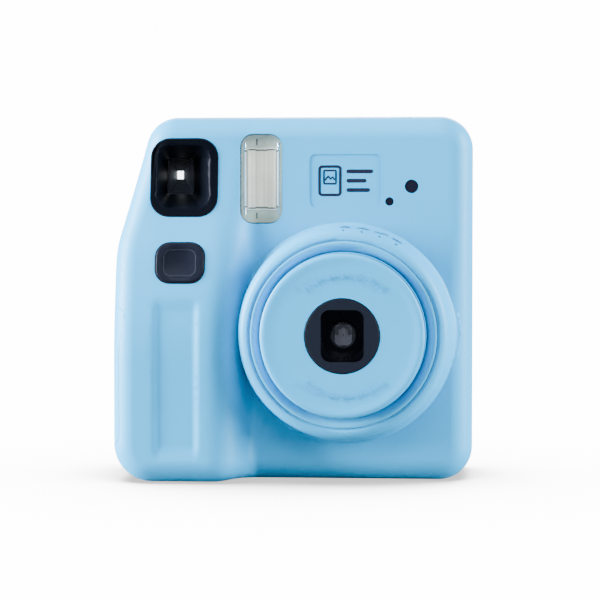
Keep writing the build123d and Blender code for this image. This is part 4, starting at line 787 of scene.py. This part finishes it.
# ---------------------------------------------------------------- fine detail: viewfinder
FUNNEL_DEPTH = 4.0
FIELD = (-0.9, 0.5, 2.1, 2.7)  # painted glow at the funnel's end, standing in for the lit view through the finder: across, up, width, height
FUNNEL_MOUTH = (0, 0, 8.9, 11.9)
FUNNEL_BACK = (0, 0, 9.2, 12.2)
QUARTERS = ((1, 1), (-1, 1), (-1, -1), (1, -1))

# grey for the funnel's side faces: painted reflection of the tube's walls
FINDER_REFLECTION = moulded("finder_painted_reflection", (0.012, 0.014, 0.02, 1), 0.35, 900, 0.005 * MM, 0.1)
FINDER_BLACK = moulded("finder_black", (0.0015, 0.0015, 0.0025, 1), 0.4, 900, 0.005 * MM, 0.1)
FINDER_BLACK.set("Specular IOR Level", 0.1)
finder_place = on_plane(FINDER.x, FINDER_HIGH.y + 0.15 * MM, FINDER.z)
funnel = bmesh.new()
loops = []
for opening, level in ((FUNNEL_MOUTH, 0), (FUNNEL_BACK, -FUNNEL_DEPTH), (FIELD, -FUNNEL_DEPTH)):
    across, up, width, height = opening
    corners = [(across + u * width / 2, up + v * height / 2) for u, v in QUARTERS]
    loops.append([funnel.verts.new(finder_place(u, v, level)) for u, v in corners])
for ring in range(3):
    beyond = loops[(ring + 1) % 3]
    for index in range(4):
        after = (index + 1) % 4
        face = funnel.faces.new((loops[ring][index], loops[ring][after], beyond[after], beyond[index]))
        # the left and right faces at the funnel's deep end are grey, as painted reflections
        face.material_index = 1 if ring == 2 and index % 2 else 0
funnel_piece = finish("viewfinder_facets", funnel, FINDER_BLACK, "case")
funnel_piece.data.materials.append(FINDER_REFLECTION.material)

# a glowing plate as painted light: the bright view seen through the finder
FIELD_GLOW = Look("finder_field_glow", (0.9, 0.95, 1, 1), 0.4)
FIELD_GLOW.set("Emission Color", (0.86, 0.94, 1, 1))
FIELD_GLOW.set("Emission Strength", 9.0)
FIELD_GLOW.mottle(300, 0.03)
field = bmesh.new()
field_outline = rounded(*FIELD[2:], 0.25, FIELD[:2], 4)
add_plate(field, field_outline, finder_place, -FUNNEL_DEPTH - 0.3, -FUNNEL_DEPTH - 0.1)
finish("viewfinder_field_glow", field, FIELD_GLOW, "case")

# thin lighter arcs at the funnel mouth's corners: painted highlights on the rim
CORNER_HIGHLIGHT = moulded("finder_corner_highlights", (0.09, 0.1, 0.13, 1), 0.3, 900, 0.005 * MM, 0.1)
CORNER_RADIUS = 1.1
highlight_arcs = bmesh.new()
for quarter, (side_x, side_z) in enumerate(QUARTERS):
    turns = [radians(90 * quarter + 90 * step / 8) for step in range(9)]
    middle_x, middle_z = side_x * 3.3, side_z * 4.8
    line = [(middle_x + CORNER_RADIUS * cos(t), middle_z + CORNER_RADIUS * sin(t)) for t in turns]
    add_stroke(highlight_arcs, line, 0.16, finder_place, 0.01, 0.06)
finish("viewfinder_corner_highlights", highlight_arcs, CORNER_HIGHLIGHT, "case")

# ---------------------------------------------------------------- fine detail: lens pupil
GLASS_LOW, GLASS_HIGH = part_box("front_lens")
PUPIL_TONES = {"stop": 0.006, "grey": 0.2, "dark": 0.07, "light": 0.26}
CELL_RINGS = (4.9, 6.5)  # radii of the fine raised steps in the cell round the front lens; drawn lighter than the cell as painted highlights
ARCH_HALF = 2.1
ARCH_FOOT = 1.4
ARCH_RISE = 1.35

pupil_place = on_plane(LENS.x, GLASS_HIGH.y + 0.5 * MM, LENS.z)
pupil_looks = {
    key: moulded("pupil_" + key, (tone, tone * 0.97, tone * 1.12, 1), 0.45, 900, 0.005 * MM, 0.08)
    for key, tone in PUPIL_TONES.items()
}
stop = bmesh.new()
add_plate(stop, circle(4.1, steps=64), pupil_place, 0, 0.1)
finish("pupil_stop", stop, pupil_looks["stop"], "lens")
patch = bmesh.new()
add_plate(patch, rounded(5.6, 6.8, 1.6), pupil_place, 0.1, 0.16)
finish("pupil_patch", patch, pupil_looks["grey"], "lens")
arch_turns = [radians(15 * step) for step in range(1, 12)]
arch_line = [(-ARCH_HALF, 0.0), (-ARCH_HALF, ARCH_FOOT)]
arch_line += [(-ARCH_HALF * cos(t), ARCH_FOOT + ARCH_RISE * sin(t)) for t in arch_turns]
arch_line += [(ARCH_HALF, ARCH_FOOT), (ARCH_HALF, 0.0)]
arch = bmesh.new()
add_stroke(arch, arch_line, 1.25, pupil_place, 0.16, 0.2)
finish("pupil_arch", arch, pupil_looks["dark"], "lens")
strip = bmesh.new()
add_plate(strip, rounded(1.1, 2.3, 0.4, (0, 1.2), 4), pupil_place, 0.16, 0.22)
finish("pupil_strip", strip, pupil_looks["light"], "lens")
# lighter than the black cell: painted highlight on the steps' edges
CELL_RING_HIGHLIGHT = moulded("cell_ring_highlights", (0.008, 0.0095, 0.013, 1), 0.5, 900, 0.005 * MM, 0.1, gloss=0.1)
ring_place = on_plane(LENS.x, GLASS_LOW.y - 0.35 * MM, LENS.z)
rings = bmesh.new()
for radius in CELL_RINGS:
    add_stroke(rings, circle(radius, steps=64), 0.26, ring_place, 0, 0.08, closed=True)
finish("cell_ring_highlights", rings, CELL_RING_HIGHLIGHT, "lens")
dot = bmesh.new()
add_plate(dot, circle(0.22, (0, 0.1), 16), pupil_place, 0.2, 0.26)
finish("pupil_dot", dot, pupil_looks["stop"], "lens")

# ---------------------------------------------------------------- fine detail: back, side and underside
ARROW = [(-1.2, -1.0), (1.2, -1.0), (0, 1.2)]
LATCH_ARROW_Z = 76 * MM
DOOR_MARK = (-9, 35)  # y and z of the arrow on the battery door
DOOR_RIDGES = 3
RATING_PLATE = (18, -4)  # x and y of its middle
PAINTED = (-0.02, 0.06)

MOULDED_MARK = moulded("moulded_mark", (0.2, 0.55, 0.85, 1), 0.4, 900, 0.005 * MM, 0.05)
latch_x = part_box("door_latch")[0].x + 3.2 * MM
latch_arrow = bmesh.new()
add_plate(latch_arrow, ARROW, on_plane(latch_x, BACK_Y, LATCH_ARROW_Z, 1), *PAINTED)
finish("latch_arrow", latch_arrow, MOULDED_MARK, "case")


def on_grip_side(across, up, height):
    """Lays drawings on the flat left side of the grip, over the battery door."""
    return (-HALF - height * MM, (DOOR_MARK[0] - across) * MM, (DOOR_MARK[1] + up) * MM)


door_arrow = bmesh.new()
add_plate(door_arrow, [(1.5 * v, 1.5 * u) for u, v in ARROW], on_grip_side, *PAINTED)
for ridge in range(DOOR_RIDGES):
    ridge_outline = rounded(0.7, 7.0, 0.3, (-3.2 - 1.6 * ridge, 0), 4)
    add_plate(door_arrow, ridge_outline, on_grip_side, -0.02, 0.12)
finish("battery_door_marks", door_arrow, MOULDED_MARK, frame["nodes"]["battery_door"]["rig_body"])


def under_base(across, up, height):
    """Lays drawings on the underside."""
    return ((RATING_PLATE[0] + across) * MM, (RATING_PLATE[1] + up) * MM, -height * MM)


plate_under = bmesh.new()
add_plate(plate_under, rounded(30, 8, 1.2), under_base, -0.02, 0.04)
finish("blank_rating_plate", plate_under, MATERIALS["black_plastic"], "case")

# ---------------------------------------------------------------- fine detail: counter figures
COUNTER_LOW, COUNTER_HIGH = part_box("counter_dial")
COUNTER = (COUNTER_LOW + COUNTER_HIGH) / 2
FIGURES = 11
FIGURE_STEP = 30  # degrees
FIGURE_SIZE = 2.6 * MM
FIGURE_REACH = 6.5 * MM
for figure in range(FIGURES):
    data = bpy.data.curves.new(f"counter_figure_{figure}", "FONT")
    data.body = str(figure)
    data.size = FIGURE_SIZE
    data.align_x = "CENTER"
    data.align_y = "CENTER"
    data.extrude = 0.03 * MM
    digit = bpy.data.objects.new(f"counter_figure_{figure}", data)
    bpy.context.scene.collection.objects.link(digit)
    digit.matrix_world = (
        Matrix.Translation((COUNTER.x, COUNTER_HIGH.y + 0.02 * MM, COUNTER.z))
        @ Matrix.Rotation(-radians(FIGURE_STEP * figure), 4, "Y")
        @ Matrix.Translation((0, 0, FIGURE_REACH))
        @ Matrix.Rotation(pi, 4, "Z")
        @ Matrix.Rotation(pi / 2, 4, "X")
    )
    data.materials.append(INK.material)
    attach(digit, "counter")

# ---------------------------------------------------------------- studio
CAMERA_DISTANCE = 0.7
CAMERA_AZIMUTH = radians(4.43)
CAMERA_RISE = radians(2.1)
VIEW_WIDTH = 0.2058  # width of the view at the object
TARGET = Vector((0.0006, 0, 0.0596))
SENSOR = 36.0

camera_data = bpy.data.cameras.new("studio_camera")
camera_data.sensor_width = SENSOR
camera_data.lens = SENSOR * CAMERA_DISTANCE / VIEW_WIDTH
camera_data.clip_end = 10
camera = bpy.data.objects.new("studio_camera", camera_data)
bpy.context.scene.collection.objects.link(camera)
direction = Vector(
    (
        sin(CAMERA_AZIMUTH) * cos(CAMERA_RISE),
        -cos(CAMERA_AZIMUTH) * cos(CAMERA_RISE),
        sin(CAMERA_RISE),
    )
)
camera.location = TARGET + direction * CAMERA_DISTANCE
camera.rotation_euler = (-direction).to_track_quat("-Z", "Y").to_euler()
bpy.context.scene.camera = camera


LIGHT_TINT = (0.78, 0.86, 1.0)


def soft_box(name, place, width, height, power):
    """A rectangular studio light that faces the middle of the object."""
    data = bpy.data.lights.new(name, "AREA")
    data.shape = "RECTANGLE"
    data.size = width
    data.size_y = height
    data.energy = power
    data.color = LIGHT_TINT
    lamp = bpy.data.objects.new(name, data)
    bpy.context.scene.collection.objects.link(lamp)
    lamp.location = place
    lamp.rotation_euler = (LIT_PLACE - Vector(place)).to_track_quat("-Z", "Y").to_euler()


LIT_PLACE = Vector((0, 0, 0.06))
soft_box("left_box", (-1.25, -0.24, 0.34), 0.5, 0.9, 212)
soft_box("right_box", (1.2, -0.24, 0.34), 0.5, 0.9, 86)
soft_box("front_top", (0.05, -0.8, 0.9), 0.8, 0.5, 12)
soft_box("top", (0, 0.1, 1.1), 0.8, 0.8, 5)
soft_box("back", (0.0, 1.1, 0.6), 1.0, 0.8, 50)

BACKDROP = 15.0  # brightness of the white surroundings as the camera sees them
SKY_LIGHT = 0.2  # the light they give

FLOOR_HALF = 3.0
FLOOR_Z = -0.0002
SHADOW_REACH = 155 * MM
SHADOW_OPENNESS = (0.33, 0.99)  # how open the floor is where the shadow is full, and where it ends
SHADOW_LEVEL = 1.0

floor_mesh = bpy.data.meshes.new("studio_floor")
floor_builder = bmesh.new()
bmesh.ops.create_grid(floor_builder, x_segments=2, y_segments=2, size=FLOOR_HALF)
floor_builder.to_mesh(floor_mesh)
floor_builder.free()
floor = bpy.data.objects.new("studio_floor", floor_mesh)
bpy.context.scene.collection.objects.link(floor)
floor.location.z = FLOOR_Z

# the floor lights the object as a grey surface, and looks white with a soft contact shadow
floor_look = Look("studio_floor", (0.16, 0.16, 0.16, 1), 0.7)
floor_look.mottle(3, 0.01)
nodes = floor_look.tree.nodes
contact = nodes.new("ShaderNodeAmbientOcclusion")
contact.inputs["Distance"].default_value = SHADOW_REACH
contact.samples = 12
level = nodes.new("ShaderNodeMapRange")
level.interpolation_type = "SMOOTHSTEP"
level.inputs["From Min"].default_value = SHADOW_OPENNESS[0]
level.inputs["From Max"].default_value = SHADOW_OPENNESS[1]
level.inputs["To Min"].default_value = SHADOW_LEVEL
level.inputs["To Max"].default_value = BACKDROP
floor_look.link(contact.outputs["AO"], level.inputs["Value"])
glow = nodes.new("ShaderNodeEmission")
floor_look.link(level.outputs["Result"], glow.inputs["Strength"])
seen = nodes.new("ShaderNodeLightPath")
blend = nodes.new("ShaderNodeMixShader")
floor_look.link(seen.outputs["Is Camera Ray"], blend.inputs[0])
floor_look.link(floor_look.shader.outputs["BSDF"], blend.inputs[1])
floor_look.link(glow.outputs["Emission"], blend.inputs[2])
floor_look.link(blend.outputs["Shader"], nodes["Material Output"].inputs["Surface"])
floor_mesh.materials.append(floor_look.material)

world = bpy.data.worlds.new("studio_world")
bpy.context.scene.world = world
world.use_nodes = True
world_nodes = world.node_tree.nodes
background = world_nodes["Background"]
background.inputs["Color"].default_value = (1, 1, 1, 1)
light_path = world_nodes.new("ShaderNodeLightPath")
backdrop_level = world_nodes.new("ShaderNodeMapRange")
backdrop_level.inputs["To Min"].default_value = SKY_LIGHT
backdrop_level.inputs["To Max"].default_value = BACKDROP
world.node_tree.links.new(light_path.outputs["Is Camera Ray"], backdrop_level.inputs["Value"])
world.node_tree.links.new(backdrop_level.outputs["Result"], background.inputs["Strength"])
